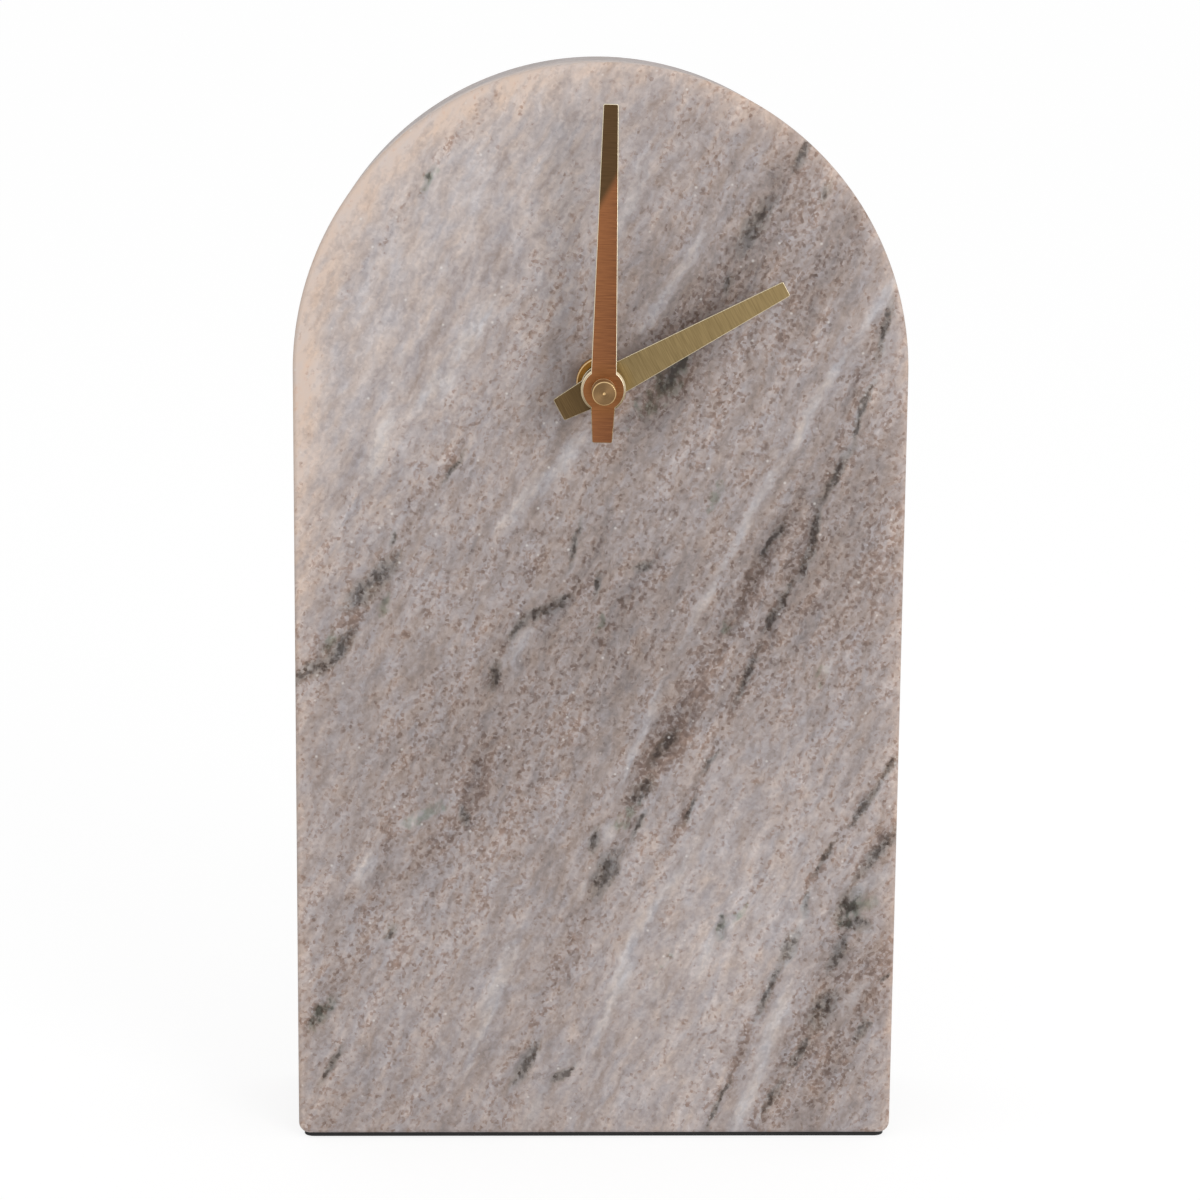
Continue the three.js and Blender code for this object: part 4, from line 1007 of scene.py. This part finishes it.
@dataclass(frozen=True)
class PrintedJacket(Finish):
    """Printed shrink jacket of a dry cell: two plain bands of colour under a clear film.

    Lengths are in millimetres, along X.
    """

    body: str = "#2f5d57"
    band: str = "#c9b27a"
    can: str = "#b9b8b2"
    band_from: float = 12
    band_to: float = 15

    def paint(self, tree: Tree, shader: Node) -> None:
        """A light band near the plus end of a dark jacket, with light wear."""
        spot = self.in_millimetres(tree)
        along = add_node(tree, "SeparateXYZ", {0: spot}).outputs["X"]
        middle, half = (self.band_from + self.band_to) / 2, (self.band_to - self.band_from) / 2
        banded = add_node(tree, "Math", {0: along, 1: middle, 2: half}, operation="COMPARE")
        inputs = {"Vector": spot, "Scale": 1.4, "Detail": 5, "Roughness": 0.7}
        wear = add_node(tree, "TexNoise", inputs)
        inputs = {"Value": wear, "From Min": 0.62, "From Max": 0.72, "To Max": 0.35}
        rubbed = add_node(tree, "MapRange", inputs)
        printed = add_node(tree, "Mix", {0: banded, 6: self.body, 7: self.band}, data_type="RGBA")
        self.lay(tree, shader, (rubbed, printed.outputs[2], self.can), (wear, 0.22, 0.4))
        shader.inputs["Coat Weight"].default_value = 0.4
        shader.inputs["Coat Roughness"].default_value = 0.12


@dataclass(frozen=True)
class WoundWire(Finish):
    """Enamelled copper wire in close turns; drawn at a fifth of a millimetre so that it shows."""

    wire: float = 0.2
    tones: tuple[str, str] = ("#6d3517", "#c4713a")

    def paint(self, tree: Tree, shader: Node) -> None:
        """Turns side by side along X."""
        turns = add_node(
            tree, "TexWave",
            {"Vector": self.in_millimetres(tree), "Scale": BANDS / self.wire, "Distortion": 0.3},
            wave_type="BANDS", bands_direction="X", wave_profile="SIN",
        )
        self.lay(tree, shader, (turns, *self.tones), 0.3, (turns, 0.6, 0.05), 0.8)


@dataclass(frozen=True)
class CircuitLaminate(Finish):
    """Glass-epoxy board under green solder resist, with the weave of its cloth and copper tracks.

    The glass cloth has about one thread to each half millimetre.
    """

    resist: tuple[str, str] = ("#1f5234", "#2f7449")
    track: str = "#3f8a55"
    thread: float = 0.5
    pitch: float = 2.54

    def paint(self, tree: Tree, shader: Node) -> None:
        """Crossed threads, and tracks on the board's grid."""
        spot = self.in_millimetres(tree)
        threads = [
            add_node(
                tree, "TexWave", {"Vector": spot, "Scale": BANDS / self.thread}, wave_type="BANDS",
                bands_direction=direction,
            )
            for direction in ("X", "Z")
        ]
        crossed = add_node(tree, "Math", dict(enumerate(threads)), operation="MULTIPLY")
        base = add_node(
            tree, "Mix", {0: crossed, 6: self.resist[0], 7: self.resist[1]}, data_type="RGBA",
        ).outputs[2]
        grid = add_node(
            tree, "TexVoronoi", {"Vector": spot, "Scale": 1 / self.pitch, "Randomness": 0.35},
            distance="CHEBYCHEV", feature="F2",
        ).outputs["Distance"]
        tracks = add_node(tree, "MapRange", {"Value": grid, "From Min": 0.62, "From Max": 0.66})
        self.lay(tree, shader, (tracks, base, self.track), 0.35, (tracks, 0.4, 0.03))


# Every finish of the clock. The comments say what each real material gives the eye.

# Matt and grainy, with soft streaks; a painted glow at its outline and upper left stands in for light
# through its thin edge.
MARBLE = HonedMarble("honed marble", "marble")
# Bare from the lathe: warm yellow, with a soft cone of light across it.
SATIN_BRASS = TurnedMetal("turned brass", "turned_brass")
# Sheared edges of the blades: a painted highlight, a light outline that is painted brightest above.
EDGE_HIGHLIGHT = TurnedMetal(
    "bright sheared brass", "brushed_brass", ("#8f7e60", "#f2e6c8"), 0.3, 0.3, 0.5, 0.45,
)
# Polished: it mirrors the pale room, and its upper side is painted lighter as a painted top light.
BRIGHT_TURNED = TurnedMetal(
    "turned brass, polished", "turned_brass", ("#83704f", "#e6d6b8"), 0.2, 0.2, 0.5, 0.5,
)
# Faced off with a coarse feed: brown, with rings that can be seen.
CAP_FACE = TurnedMetal("faced brass", "turned_brass", ("#664e34", "#8b6f4e"), 0.16, 0.36, 0.6)
# A chamfer cut clean, painted as a thin bright line: a painted highlight, a little lighter above; the
# nut's chamfer and the cap's dimple get it too.
CAP_EDGE_HIGHLIGHT = TurnedMetal(
    "chamfered brass", "turned_brass", ("#b08b5c", "#e6c898"), 0.2, 0.24, 0.5, 0.2,
)
# Handled brass: dull, so that it doesn't mirror the hand under it.
CAP_WALL = TurnedMetal("turned brass, dull", "turned_brass", ("#8a6a45", "#a3825a"), 0.2, 0.5, 0.2)
# The back foot of the cap: a light satin band, a painted highlight along the cap's outline.
CAP_COLLAR_HIGHLIGHT = TurnedMetal(
    "turned brass, satin", "turned_brass", ("#d3b488", "#ecd2a8"), 0.2, 0.5, 0.2,
)
# Brass painted a deep orange brown: painted shade and reflection of the hands in front of it.
NUT_BRASS = TurnedMetal(
    "turned brass, shaded", "turned_brass", ("#9c6a2b", "#bd8a42"), 0.2, 0.4, 0.6,
)
# Plated: a grey mirror with a trace of yellow.
NICKEL = TurnedMetal("nickel-plated brass", "nickel", ("#a8a6a0", "#c9c7c0"), 0.25, 0.25)
NICKEL_SHEET = StampedMetal("nickel-plated spring steel", "nickel")
# Annealed transformer sheet: dark grey and dull.
SILICON_IRON = StampedMetal("silicon iron", "soft_iron", ("#777673", "#9b9a96"), 0.42, 0.3)
# Pressed and fired: nearly black, with a fine even grain.
FERRITE = MouldedPlastic("sintered ferrite", "magnet", ("#242326", "#363538"), 0.5, 0.15, 0.03)
# Moulded soft: black with no gloss.
RUBBER = MouldedPlastic("nitrile rubber", "black_rubber", ("#161515", "#222120"), 0.8, 0.3, 0.05)
ABS_BLACK = MouldedPlastic("moulded black polymer", "black_plastic")
# Slippery gear plastics: smooth, with a silky gloss.
ACETAL_WHITE = MouldedPlastic(
    "white acetal", "white_plastic", ("#d6d3ca", "#eae8e1"), 0.38, 0.4, 0.01,
)
ACETAL_RED = MouldedPlastic("red acetal", "red_plastic", ("#7f2522", "#a0342f"), 0.4, 0.4, 0.01)
# Poured and cured: a glossy black drop with a slow swell.
EPOXY_DROP = MouldedPlastic("black epoxy", "resin", ("#0e0e0f", "#19191a"), 0.2, 1.2, 0.05)
WIRE = WoundWire("enamelled copper", "copper_wire")
LAMINATE = CircuitLaminate("glass-epoxy laminate", "board")
JACKET = PrintedJacket("printed cell jacket", "cell_jacket")


def hand_over(
    piece: Piece, finish: Finish, body: str, *nodes: str, more: Sequence[Finish] = (),
) -> None:
    """Gives a finished piece its materials and its body, and hides the nodes that it stands for.

    Args:
        piece: the piece.
        finish: its finish.
        body: the body that it rides on.
        nodes: construction nodes that it replaces.
        more: finishes of further material slots, whose faces are already marked.
    """
    marked = [face.material_index for face in piece.data.polygons]
    piece.data.materials.clear()
    for each in (finish, *more):
        piece.data.materials.append(each.material())
    piece.data.polygons.foreach_set("material_index", marked)
    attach(piece, body)
    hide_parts(*nodes)
    LOG.info("%s: %d faces, rides on %s", piece.name, len(piece.data.polygons), body)


def dress(node: str, finish: Finish) -> None:
    """Gives a construction node that stays as it is its finish."""
    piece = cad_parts[node]
    piece.data.materials.clear()
    piece.data.materials.append(finish.material())
    LOG.info("%s: %s", node, finish.name)


# Sub-assemblies

@dataclass
class Stand:
    """The arched slab with its recess and shaft hole, and the pad under it."""

    edge: float = 0.7 * MM
    edge_steps: int = 3
    foot_corner: float = 2.2 * MM
    foot_steps: int = 5
    arch_steps: int = 384
    recess_room: float = 3 * MM
    recess_corner: float = 6 * MM
    nut_overlap: float = 0.8 * MM
    pad_corner: float = 2 * MM
    pad_edge: float = 0.2 * MM

    def build(self) -> None:
        """Builds both pieces."""
        slab = ease_edges(self._slab(), self.edge, self.edge_steps)
        hand_over(slab, MARBLE, "clock", "marble_slab")
        pad = rounded_block("pad", *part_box("base_pad"), self.pad_corner, axis=2)
        hand_over(ease_edges(pad, self.pad_edge), RUBBER, "clock", "base_pad")

    def _slab(self) -> Piece:
        """The slab with its cuts, before its edges are broken."""
        low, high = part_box("marble_slab")
        radius = (high.x - low.x) / 2
        arch = high.z - radius
        deselect_all()
        bpy.ops.mesh.primitive_circle_add(
            vertices=self.arch_steps, radius=radius, fill_type="NGON", location=(0, low.y, arch),
            rotation=UPRIGHT,
        )
        slab = settle(bpy.context.active_object, "slab")
        with editing(slab):
            bpy.ops.mesh.bisect(plane_co=(0, low.y, arch), plane_no=(0, 0, 1), clear_inner=True)
            pick(slab, "EDGE", lambda edge: max(abs(v.co.z - arch) for v in edge.verts) < NEAR)
            bpy.ops.mesh.extrude_edges_move(TRANSFORM_OT_translate={"value": (0, 0, low.z - arch)})
            bpy.ops.mesh.select_all(action="SELECT")
            bpy.ops.mesh.dissolve_limited(angle_limit=math.radians(0.1))
            bpy.ops.mesh.select_all(action="SELECT")
            bpy.ops.mesh.extrude_region_move(TRANSFORM_OT_translate={"value": (0, high.y - low.y, 0)})
            pick(slab, "EDGE", lambda edge: runs_along(edge, 1) and edge.verts[0].co.z < low.z + NEAR)
            bpy.ops.mesh.bevel(offset=self.foot_corner, segments=self.foot_steps, affect="EDGES")
        smooth(slab)
        case_low, case_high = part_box("movement_front_case")
        room = Vector((self.recess_room, 0, self.recess_room))
        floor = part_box("rubber_gasket")[0].y
        recess = rounded_block(
            "recess", Vector((case_low.x, floor, case_low.z)) - room,
            Vector((case_high.x, high.y + self.recess_room, case_high.z)) + room, self.recess_corner,
        )
        combine(slab, recess, "DIFFERENCE")
        hole_radius = radius_of("fixing_nut") - self.nut_overlap
        front, back = low.y - self.recess_room, floor + self.recess_room
        return combine(slab, rod("hole", hole_radius, front, back, HOUR_AXIS), "DIFFERENCE")


@dataclass
class Fixing:
    """Bushing, gasket, washer and nut that clamp the movement to the stone."""

    chamfer: float = 0.2 * MM
    fine: float = 0.12 * MM
    thread_pitch: float = 0.75 * MM
    thread_depth: float = 0.2 * MM
    flange_width: float = 1.05 * MM
    flange_depth: float = 0.8 * MM
    wall: float = 0.85 * MM
    gap: float = 0.1 * MM
    facing: float = -0.3
    thread_steps: int = 64

    def build(self) -> None:
        """Turns all four pieces."""
        thread = radius_of("threaded_bushing") - self.flange_width
        bore, soft = thread + self.gap, 2 * self.fine
        nut = ring("nut", "fixing_nut", bore, self.chamfer, self.fine, self.fine)
        rim = radius_of("fixing_nut") - self.chamfer
        # The nut's front chamfer gets the painted chamfer highlight.
        for face in nut.data.polygons:
            face.material_index = int(face.normal.y < self.facing and off_axis(face) > rim)
        hand_over(nut, NUT_BRASS, "clock", "fixing_nut", more=[CAP_EDGE_HIGHLIGHT])
        washer = ring("washer", "nut_washer", bore, self.fine, self.fine)
        hand_over(washer, SATIN_BRASS, "clock", "nut_washer")
        gasket = ring("gasket", "rubber_gasket", bore, soft, soft)
        hand_over(gasket, RUBBER, "clock", "rubber_gasket")
        hand_over(self._bushing(thread), NICKEL, "clock", "threaded_bushing")

    def _bushing(self, thread: float) -> Piece:
        """The bushing with its thread as rings, from the movement to its front end.

        Args:
            thread: outer radius of the thread.

        Returns:
            The new object.
        """
        (low, high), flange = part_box("threaded_bushing"), radius_of("threaded_bushing")
        bore, flange_front = thread - self.wall, high.y - self.flange_depth
        profile = [(bore, high.y), (flange, high.y), (flange, flange_front), (thread, flange_front)]
        for turned in range(int((flange_front - low.y - self.thread_pitch) / self.thread_pitch)):
            start = flange_front - (turned + 0.5) * self.thread_pitch
            profile += [(thread, start), (thread - self.thread_depth, start - self.thread_pitch / 2)]
        profile += [
            (thread, low.y + self.fine), (thread - self.fine, low.y), (bore, low.y), (bore, high.y),
        ]
        return turn("bushing", profile, HOUR_AXIS, self.thread_steps)


@dataclass
class Hand:
    """One hand: a tapered blade with a tail, on a round boss. Sizes are in metres.

    Its outline is made as a thick bar, which is then cut to the sheet's thickness, so that no
    face of the boss lies in a face of the blade while they are joined.
    """

    name: str
    node: str
    body: str
    finish: BrushedBrass
    reach: float
    tail: float
    tip_width: float
    hub_width: float
    tail_width: float
    boss: float
    bore: float
    edge: float = 0.11 * MM
    corner: float = 0.35 * MM
    corner_steps: int = 4
    boss_steps: int = 128

    def build(self) -> None:
        """Builds the blade upright about the origin, then turns it to its hour and places it."""
        low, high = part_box(self.node)
        thickness, length = high.y - low.y, self.reach + self.tail
        deselect_all()
        bpy.ops.mesh.primitive_plane_add(
            size=1, location=(0, -thickness, self.reach - length / 2), rotation=UPRIGHT,
        )
        blade = bpy.context.active_object
        blade.scale = (self.hub_width, length, 1)
        settle(blade, self.name)
        with editing(blade):
            bpy.ops.mesh.bisect(plane_co=(0, 0, 0), plane_no=(0, 0, 1))
            for height, width in ((self.reach, self.tip_width), (-self.tail, self.tail_width)):
                pick(blade, "VERT", lambda vertex: abs(vertex.co.z - height) < NEAR)
                share = width / self.hub_width
                bpy.ops.transform.resize(value=(share, 1, 1), center_override=(0, 0, height))
                bpy.ops.mesh.bevel(offset=self.corner, segments=self.corner_steps, affect="VERTICES")
            bpy.ops.mesh.select_all(action="SELECT")
            bpy.ops.mesh.extrude_region_move(TRANSFORM_OT_translate={"value": (0, 3 * thickness, 0)})
        smooth(blade)
        boss = rod("boss", self.boss, -2 * thickness, 3 * thickness, (0, 0), self.boss_steps)
        combine(blade, boss, "UNION")
        with editing(blade):
            for depth, sides in ((0, {"clear_inner": True}), (thickness, {"clear_outer": True})):
                bpy.ops.mesh.select_all(action="SELECT")
                bpy.ops.mesh.bisect(plane_co=(0, depth, 0), plane_no=(0, 1, 0), use_fill=True, **sides)
        bore = rod("bore", self.bore, -thickness, 2 * thickness, (0, 0))
        combine(blade, bore, "DIFFERENCE")
        with editing(blade):
            bpy.ops.mesh.remove_doubles(threshold=self.edge / 2)
        ease_edges(blade, self.edge, clamp=False)
        # The broken edges get the painted edge highlight.
        for face in blade.data.polygons:
            # Only the broken edges look neither straight ahead nor straight aside.
            face.material_index = int(0.1 < abs(face.normal.y) < 0.98)
        blade.rotation_euler = (0, self.finish.angle, 0)
        blade.location = (HOUR_AXIS[0], low.y, HOUR_AXIS[1])
        hand_over(settle(blade), self.finish, self.body, self.node, more=[EDGE_HIGHLIGHT])


@dataclass
class HandSet:
    """Both hands, the bushes behind them and the cap on the shaft's end."""

    hour_angle: float = math.radians(61.5)
    minute_angle: float = math.radians(1)
    chamfer: float = 0.2 * MM
    fine: float = 0.1 * MM
    cap_edge: float = 0.04 * MM
    collar: float = 1.3 * MM
    end_wall: float = 1.1 * MM
    dimple_radius: float = 0.26 * MM
    dimple_depth: float = 0.15 * MM
    hour_bore: float = 2.7 * MM
    minute_bore: float = 1.45 * MM

    def build(self) -> None:
        """Builds the hands, then what is turned."""
        # The hour hand's tail is painted darker as a painted dark reflection, and its blade golden near
        # the hub as a painted reflection.
        Hand(
            "hour_blade", "hour_hand", "hour", BrushedBrass(
                "brushed brass, hour hand", "brushed_brass", self.hour_angle, ("#705f40", "#8b7854"),
                (0, 0.008), ("#56442d", "#695539"), -1, -3.5,
            ),
            39.9 * MM, 9.6 * MM, 3.08 * MM, 6.4 * MM, 4.6 * MM, 4.2 * MM, self.hour_bore,
        ).build()
        # The minute hand's copper tones are partly a painted warm reflection, and its upper blade is
        # painted darker as a painted dark reflection.
        Hand(
            "minute_blade", "minute_hand", "minute", BrushedBrass(
                "brushed brass, minute hand", "brushed_brass", self.minute_angle,
                ("#6e462f", "#8c5c3c"), (-0.12, 0.008), ("#4a3824", "#5c4630"), 37.2, 40.5, -1.8,
                "#9c6a2a", 0.15,
            ),
            54 * MM, 10.1 * MM, 2.86 * MM, 5 * MM, 3.83 * MM, 4 * MM, self.minute_bore,
        ).build()
        for body, bore, finish in (
            ("hour", self.hour_bore, SATIN_BRASS), ("minute", self.minute_bore, BRIGHT_TURNED),
        ):
            bush = ring(f"{body}_bush", f"{body}_hand_bush", bore, self.chamfer, self.fine)
            hand_over(bush, finish, body, f"{body}_hand_bush")
        self._cap()

    def _cap(self) -> None:
        """The cap with its chamfer, a shallow centre dimple and the blind hole for the thread."""
        (low, high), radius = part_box("hand_cap"), radius_of("hand_cap")
        collar = high.y - self.collar
        cap = turn("cap", [
            (self.minute_bore, low.y + self.end_wall), (self.minute_bore, high.y),
            (radius - self.fine, high.y), (radius, high.y - self.fine), (radius, collar),
            (radius, low.y + self.chamfer), (radius - self.chamfer, low.y),
            (self.dimple_radius, low.y), (self.dimple_radius / 2, low.y + 0.8 * self.dimple_depth),
            (0, low.y + self.dimple_depth),
        ], HOUR_AXIS)
        ease_edges(cap, self.cap_edge, angle=30)
        # The cap's back foot gets the painted collar highlight; its chamfer and its dimple get the
        # painted chamfer highlight.
        for face in cap.data.polygons:
            away = off_axis(face)
            if away > radius - self.fine / 2:
                face.material_index = 2 if face.center.y < collar else 3
            else:
                face.material_index = int(away > radius - self.chamfer or away < self.dimple_radius)
        hand_over(cap, CAP_FACE, "minute", "hand_cap", more=[CAP_EDGE_HIGHLIGHT, CAP_WALL, CAP_COLLAR_HIGHLIGHT])


@dataclass
class Movement:
    """Case, cover and setting knob that show from behind, and the train and motor inside."""

    case_edge: float = 0.15 * MM
    cover_edge: float = 0.25 * MM
    panel_margin: float = 4 * MM
    panel_depth: float = 0.3 * MM
    panel_corner: float = 2 * MM
    collar_gap: float = 0.7 * MM
    collar_width: float = 0.8 * MM
    collar_height: float = 0.5 * MM
    collar_root: float = 0.2 * MM
    knob_ribs: int = 24
    upright: float = 0.2
    rib: float = 0.35 * MM
    knob_wall: float = 3.85 * MM
    knob_edge: float = 0.08 * MM
    knob_foot: float = 0.2 * MM
    knob_shoulder: float = 0.4 * MM
    knob_lip: float = 1.1 * MM
    dish_rim: float = 1.5 * MM
    dish: float = 0.6 * MM
    dish_core: float = 0.9 * MM

    def build(self) -> None:
        """Builds what shows, then dresses what the case closes in."""
        case = refined_copy("movement_front_case", "case", self.case_edge)
        hand_over(case, ABS_BLACK, "clock", "movement_front_case")
        hand_over(self._cover(), ABS_BLACK, "clock", "movement_rear_cover")
        hand_over(self._knob(), ABS_BLACK, "setting", "setting_knob")
        inner = {
            ACETAL_WHITE: (
                "bearing_bridge", "coil_bobbin", "rotor_pinion", "intermediate_wheel", "seconds_wheel",
                "third_wheel", "centre_wheel", "hour_wheel",
            ),
            ACETAL_RED: ("reversing_wheel", "setting_stem"),
            SILICON_IRON: ("motor_stator", "coil_core"),
            NICKEL_SHEET: ("motor_screw_left", "motor_screw_right", "quartz_crystal"),
            SATIN_BRASS: ("minute_arbor",),
            FERRITE: ("rotor_magnet",),
            WIRE: ("coil_winding",),
            LAMINATE: ("circuit_board",),
            EPOXY_DROP: ("chip_resin",),
        }
        for finish, nodes in inner.items():
            for node in nodes:
                dress(node, finish)

    def _cover(self) -> Piece:
        """The rear cover with a sunk panel, a collar round the knob and its lips inside."""
        cover = refined_copy("movement_rear_cover", "cover", self.cover_edge)
        low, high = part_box("movement_rear_cover")
        knob, knob_radius = middle_of("setting_knob"), radius_of("setting_knob")
        margin = self.panel_margin
        near = Vector((knob[0] + knob_radius + 2 * margin, high.y - self.panel_depth, low.z + margin))
        far = Vector((high.x - margin, high.y + 1 * MM, high.z - 2 * margin))
        combine(cover, rounded_block("panel", near, far, self.panel_corner), "DIFFERENCE")
        inside = knob_radius + self.collar_gap
        outside = inside + self.collar_width
        root, top = high.y - self.collar_root, high.y + self.collar_height
        profile = [(inside, root), (outside, root), (outside, top), (inside, top), (inside, root)]
        return smooth(combine(cover, turn("collar", profile, knob), "UNION"))

    def _knob(self) -> Piece:
        """The setting knob: a ribbed rim about a dished top."""
        (low, high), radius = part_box("setting_knob"), radius_of("setting_knob")
        centre = middle_of("setting_knob")
        root, floor = radius - self.rib, high.y - self.dish
        knob = turn("knob", [
            (radius - self.knob_wall, low.y), (root - self.knob_foot, low.y),
            (root, low.y + self.knob_foot), (root, high.y - self.knob_shoulder),
            (root - self.knob_shoulder, high.y), (root - self.knob_lip, high.y),
            (root - self.dish_rim, floor), (self.dish_core, floor), (0, floor),
        ], centre, 4 * self.knob_ribs)
        turned = 2 * math.pi / self.knob_ribs

        def is_rib(face: bmesh.types.BMFace) -> bool:
            """Whether a face lies on the rim, in the half of each division that stands out."""
            middle = face.calc_center_median()
            across, up = middle.x - centre[0], middle.z - centre[1]
            on_rim = math.hypot(across, up) > root - 0.1 * MM and abs(face.normal.y) < self.upright
            return on_rim and (math.atan2(up, across) % turned) < turned / 2

        with editing(knob):
            pick(knob, "FACE", is_rib)
            share = radius / root
            bpy.ops.mesh.extrude_region_move(TRANSFORM_OT_translate={"value": (0, 0, 0)})
            bpy.ops.transform.resize(
                value=(share, 1, share), center_override=(centre[0], 0, centre[1]),
            )
        return ease_edges(knob, self.knob_edge)


@dataclass
class Battery:
    """The dry cell in its bay and the two contact strips."""

    can_edge: float = 0.9 * MM
    crimp: float = 0.35 * MM
    plus_ring: float = 4.6 * MM
    nub: float = 2.7 * MM
    nub_length: float = 1.2 * MM
    strip_edge: float = 0.08 * MM

    def build(self) -> None:
        """Builds the cell along Y, lays it along X, and refines the strips."""
        low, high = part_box("aa_cell")
        radius, length = (high.z - low.z) / 2, high.x - low.x
        edge, crimp, nub, shoulder = self.can_edge, self.crimp, self.nub, length - self.nub_length
        cell = turn("dry_cell", [
            (radius - 2 * edge, -crimp), (radius - 1.4 * edge, 0), (radius - edge / 2, 0),
            (radius, -edge / 2), (radius, -(shoulder - edge / 2)), (radius - edge / 2, -shoulder),
            (radius - edge, -shoulder), (radius - 1.3 * edge, -(shoulder - crimp)),
            (self.plus_ring, -(shoulder - crimp)), (nub + edge / 2, -(shoulder - crimp)),
            (nub, -(shoulder + crimp)), (nub, -(length - crimp)), (nub - crimp, -length), (0, -length),
        ], (0, 0))
        for face in cell.data.polygons:
            face.material_index = int(math.hypot(face.center.x, face.center.z) <= radius - edge)
        cell.rotation_euler = (0, 0, math.pi / 2)
        cell.location = (low.x, (low.y + high.y) / 2, (low.z + high.z) / 2)
        hand_over(settle(cell), JACKET, "clock", "aa_cell", more=[NICKEL_SHEET])
        for end in ("positive", "negative"):
            strip = refined_copy(f"{end}_contact", f"{end}_strip", self.strip_edge)
            hand_over(strip, NICKEL_SHEET, "clock", f"{end}_contact")


@dataclass
class Studio:
    """Camera, floor, world and the one softbox of a plain white studio."""

    focal: float = 3358.2 / 1200
    sensor: float = 36.0
    clip: tuple[float, float] = (0.01, 100)
    eye: tuple[float, float, float] = (-18.783 * MM, -670 * MM, 234.998 * MM)
    yaw: float = math.radians(1.66487)
    pitch: float = math.radians(10.77155)
    roll: float = math.radians(0.50573)
    ambient: float = 0.72
    key_watts: float = 5.2
    key_size: float = 0.6
    key_distance: float = 1.2
    key_from: tuple[float, float, float] = (0.6, -1.0, 0.28)
    floor_size: float = 60
    floor_albedo: float = 0.8
    shadow_share: float = 0.25

    def build_camera(self) -> None:
        """A camera with no shift, at the photograph's place and turn."""
        data = bpy.data.cameras.new("camera")
        data.lens = self.focal * self.sensor
        data.sensor_width = self.sensor
        data.clip_start, data.clip_end = self.clip
        camera = bpy.data.objects.new("camera", data)
        bpy.context.scene.collection.objects.link(camera)
        ahead = Vector((math.sin(self.yaw), math.cos(self.yaw), 0))
        right = Vector((math.cos(self.yaw), -math.sin(self.yaw), 0))
        forward = math.cos(self.pitch) * ahead - Vector((0, 0, math.sin(self.pitch)))
        up = math.sin(self.pitch) * ahead + Vector((0, 0, math.cos(self.pitch)))
        across = math.cos(self.roll) * right + math.sin(self.roll) * up
        above = math.cos(self.roll) * up - math.sin(self.roll) * right
        turned = Matrix((across, above, -forward)).transposed().to_4x4()
        camera.matrix_world = Matrix.Translation(self.eye) @ turned
        bpy.context.scene.camera = camera

    def build_light(self) -> None:
        """The world, the floor and the softbox."""
        bpy.context.scene.view_settings.view_transform = "Standard"
        self._world()
        self._floor()
        light = bpy.data.lights.new("softbox", "AREA")
        light.shape, light.size, light.energy = "DISK", self.key_size, self.key_watts
        lamp = bpy.data.objects.new("softbox", light)
        bpy.context.scene.collection.objects.link(lamp)
        low, high = CAD_BOX
        way = Vector(self.key_from).normalized()
        lamp.location = Vector((0, low.y, high.z / 2)) + way * self.key_distance
        lamp.rotation_euler = way.to_track_quat("Z", "Y").to_euler()

    def _seen(self, tree: Tree) -> Node:
        """1 for rays from the camera, also by gloss or glass, and 0 for light on things."""
        rays = add_node(tree, "LightPath").outputs
        inputs = {0: rays["Is Camera Ray"], 1: rays["Is Glossy Ray"]}
        seen = add_node(tree, "Math", inputs, operation="MAXIMUM")
        return add_node(tree, "Math", {0: seen, 1: rays["Is Transmission Ray"]}, operation="MAXIMUM")

    def _world(self) -> None:
        """White where it is seen, and a little less as light."""
        world = bpy.data.worlds.new("studio")
        bpy.context.scene.world = world
        world.use_nodes = True
        tree = world.node_tree
        tree.nodes.clear()
        inputs = {"Value": self._seen(tree), "To Min": self.ambient, "To Max": 1.0}
        strength = add_node(tree, "MapRange", inputs)
        light = add_node(tree, "Background", {"Color": (1, 1, 1, 1), "Strength": strength})
        add_node(tree, "OutputWorld", {"Surface": light})

    def _floor(self) -> None:
        """A wide white floor that shows white, with the clock's shadow on it."""
        deselect_all()
        bpy.ops.mesh.primitive_plane_add(size=self.floor_size)
        floor = settle(bpy.context.active_object, "floor")
        material = bpy.data.materials.new("white floor")
        material.use_nodes = True
        tree = material.node_tree
        tree.nodes.clear()
        plain, dim = (
            add_node(tree, "BsdfDiffuse", {"Color": (share,) * 3 + (1,)})
            for share in (self.floor_albedo, self.shadow_share)
        )
        inputs = {"Color": (1, 1, 1, 1), "Strength": 1 - 0.75 * self.shadow_share}
        glow = add_node(tree, "Emission", inputs)
        white = add_node(tree, "AddShader", {0: dim, 1: glow})
        shown = add_node(tree, "MixShader", {0: self._seen(tree), 1: plain, 2: white})
        add_node(tree, "OutputMaterial", {"Surface": shown})
        floor.data.materials.append(material)


def main() -> None:
    """Builds the clock from the camera to the last contact strip."""
    logging.basicConfig(level=logging.INFO, format="%(name)s: %(message)s")
    studio = Studio()
    studio.build_camera()
    for group in (Stand(), Fixing(), HandSet(), Movement(), Battery()):
        group.build()
    studio.build_light()


if __name__ == "__main__":
    main()
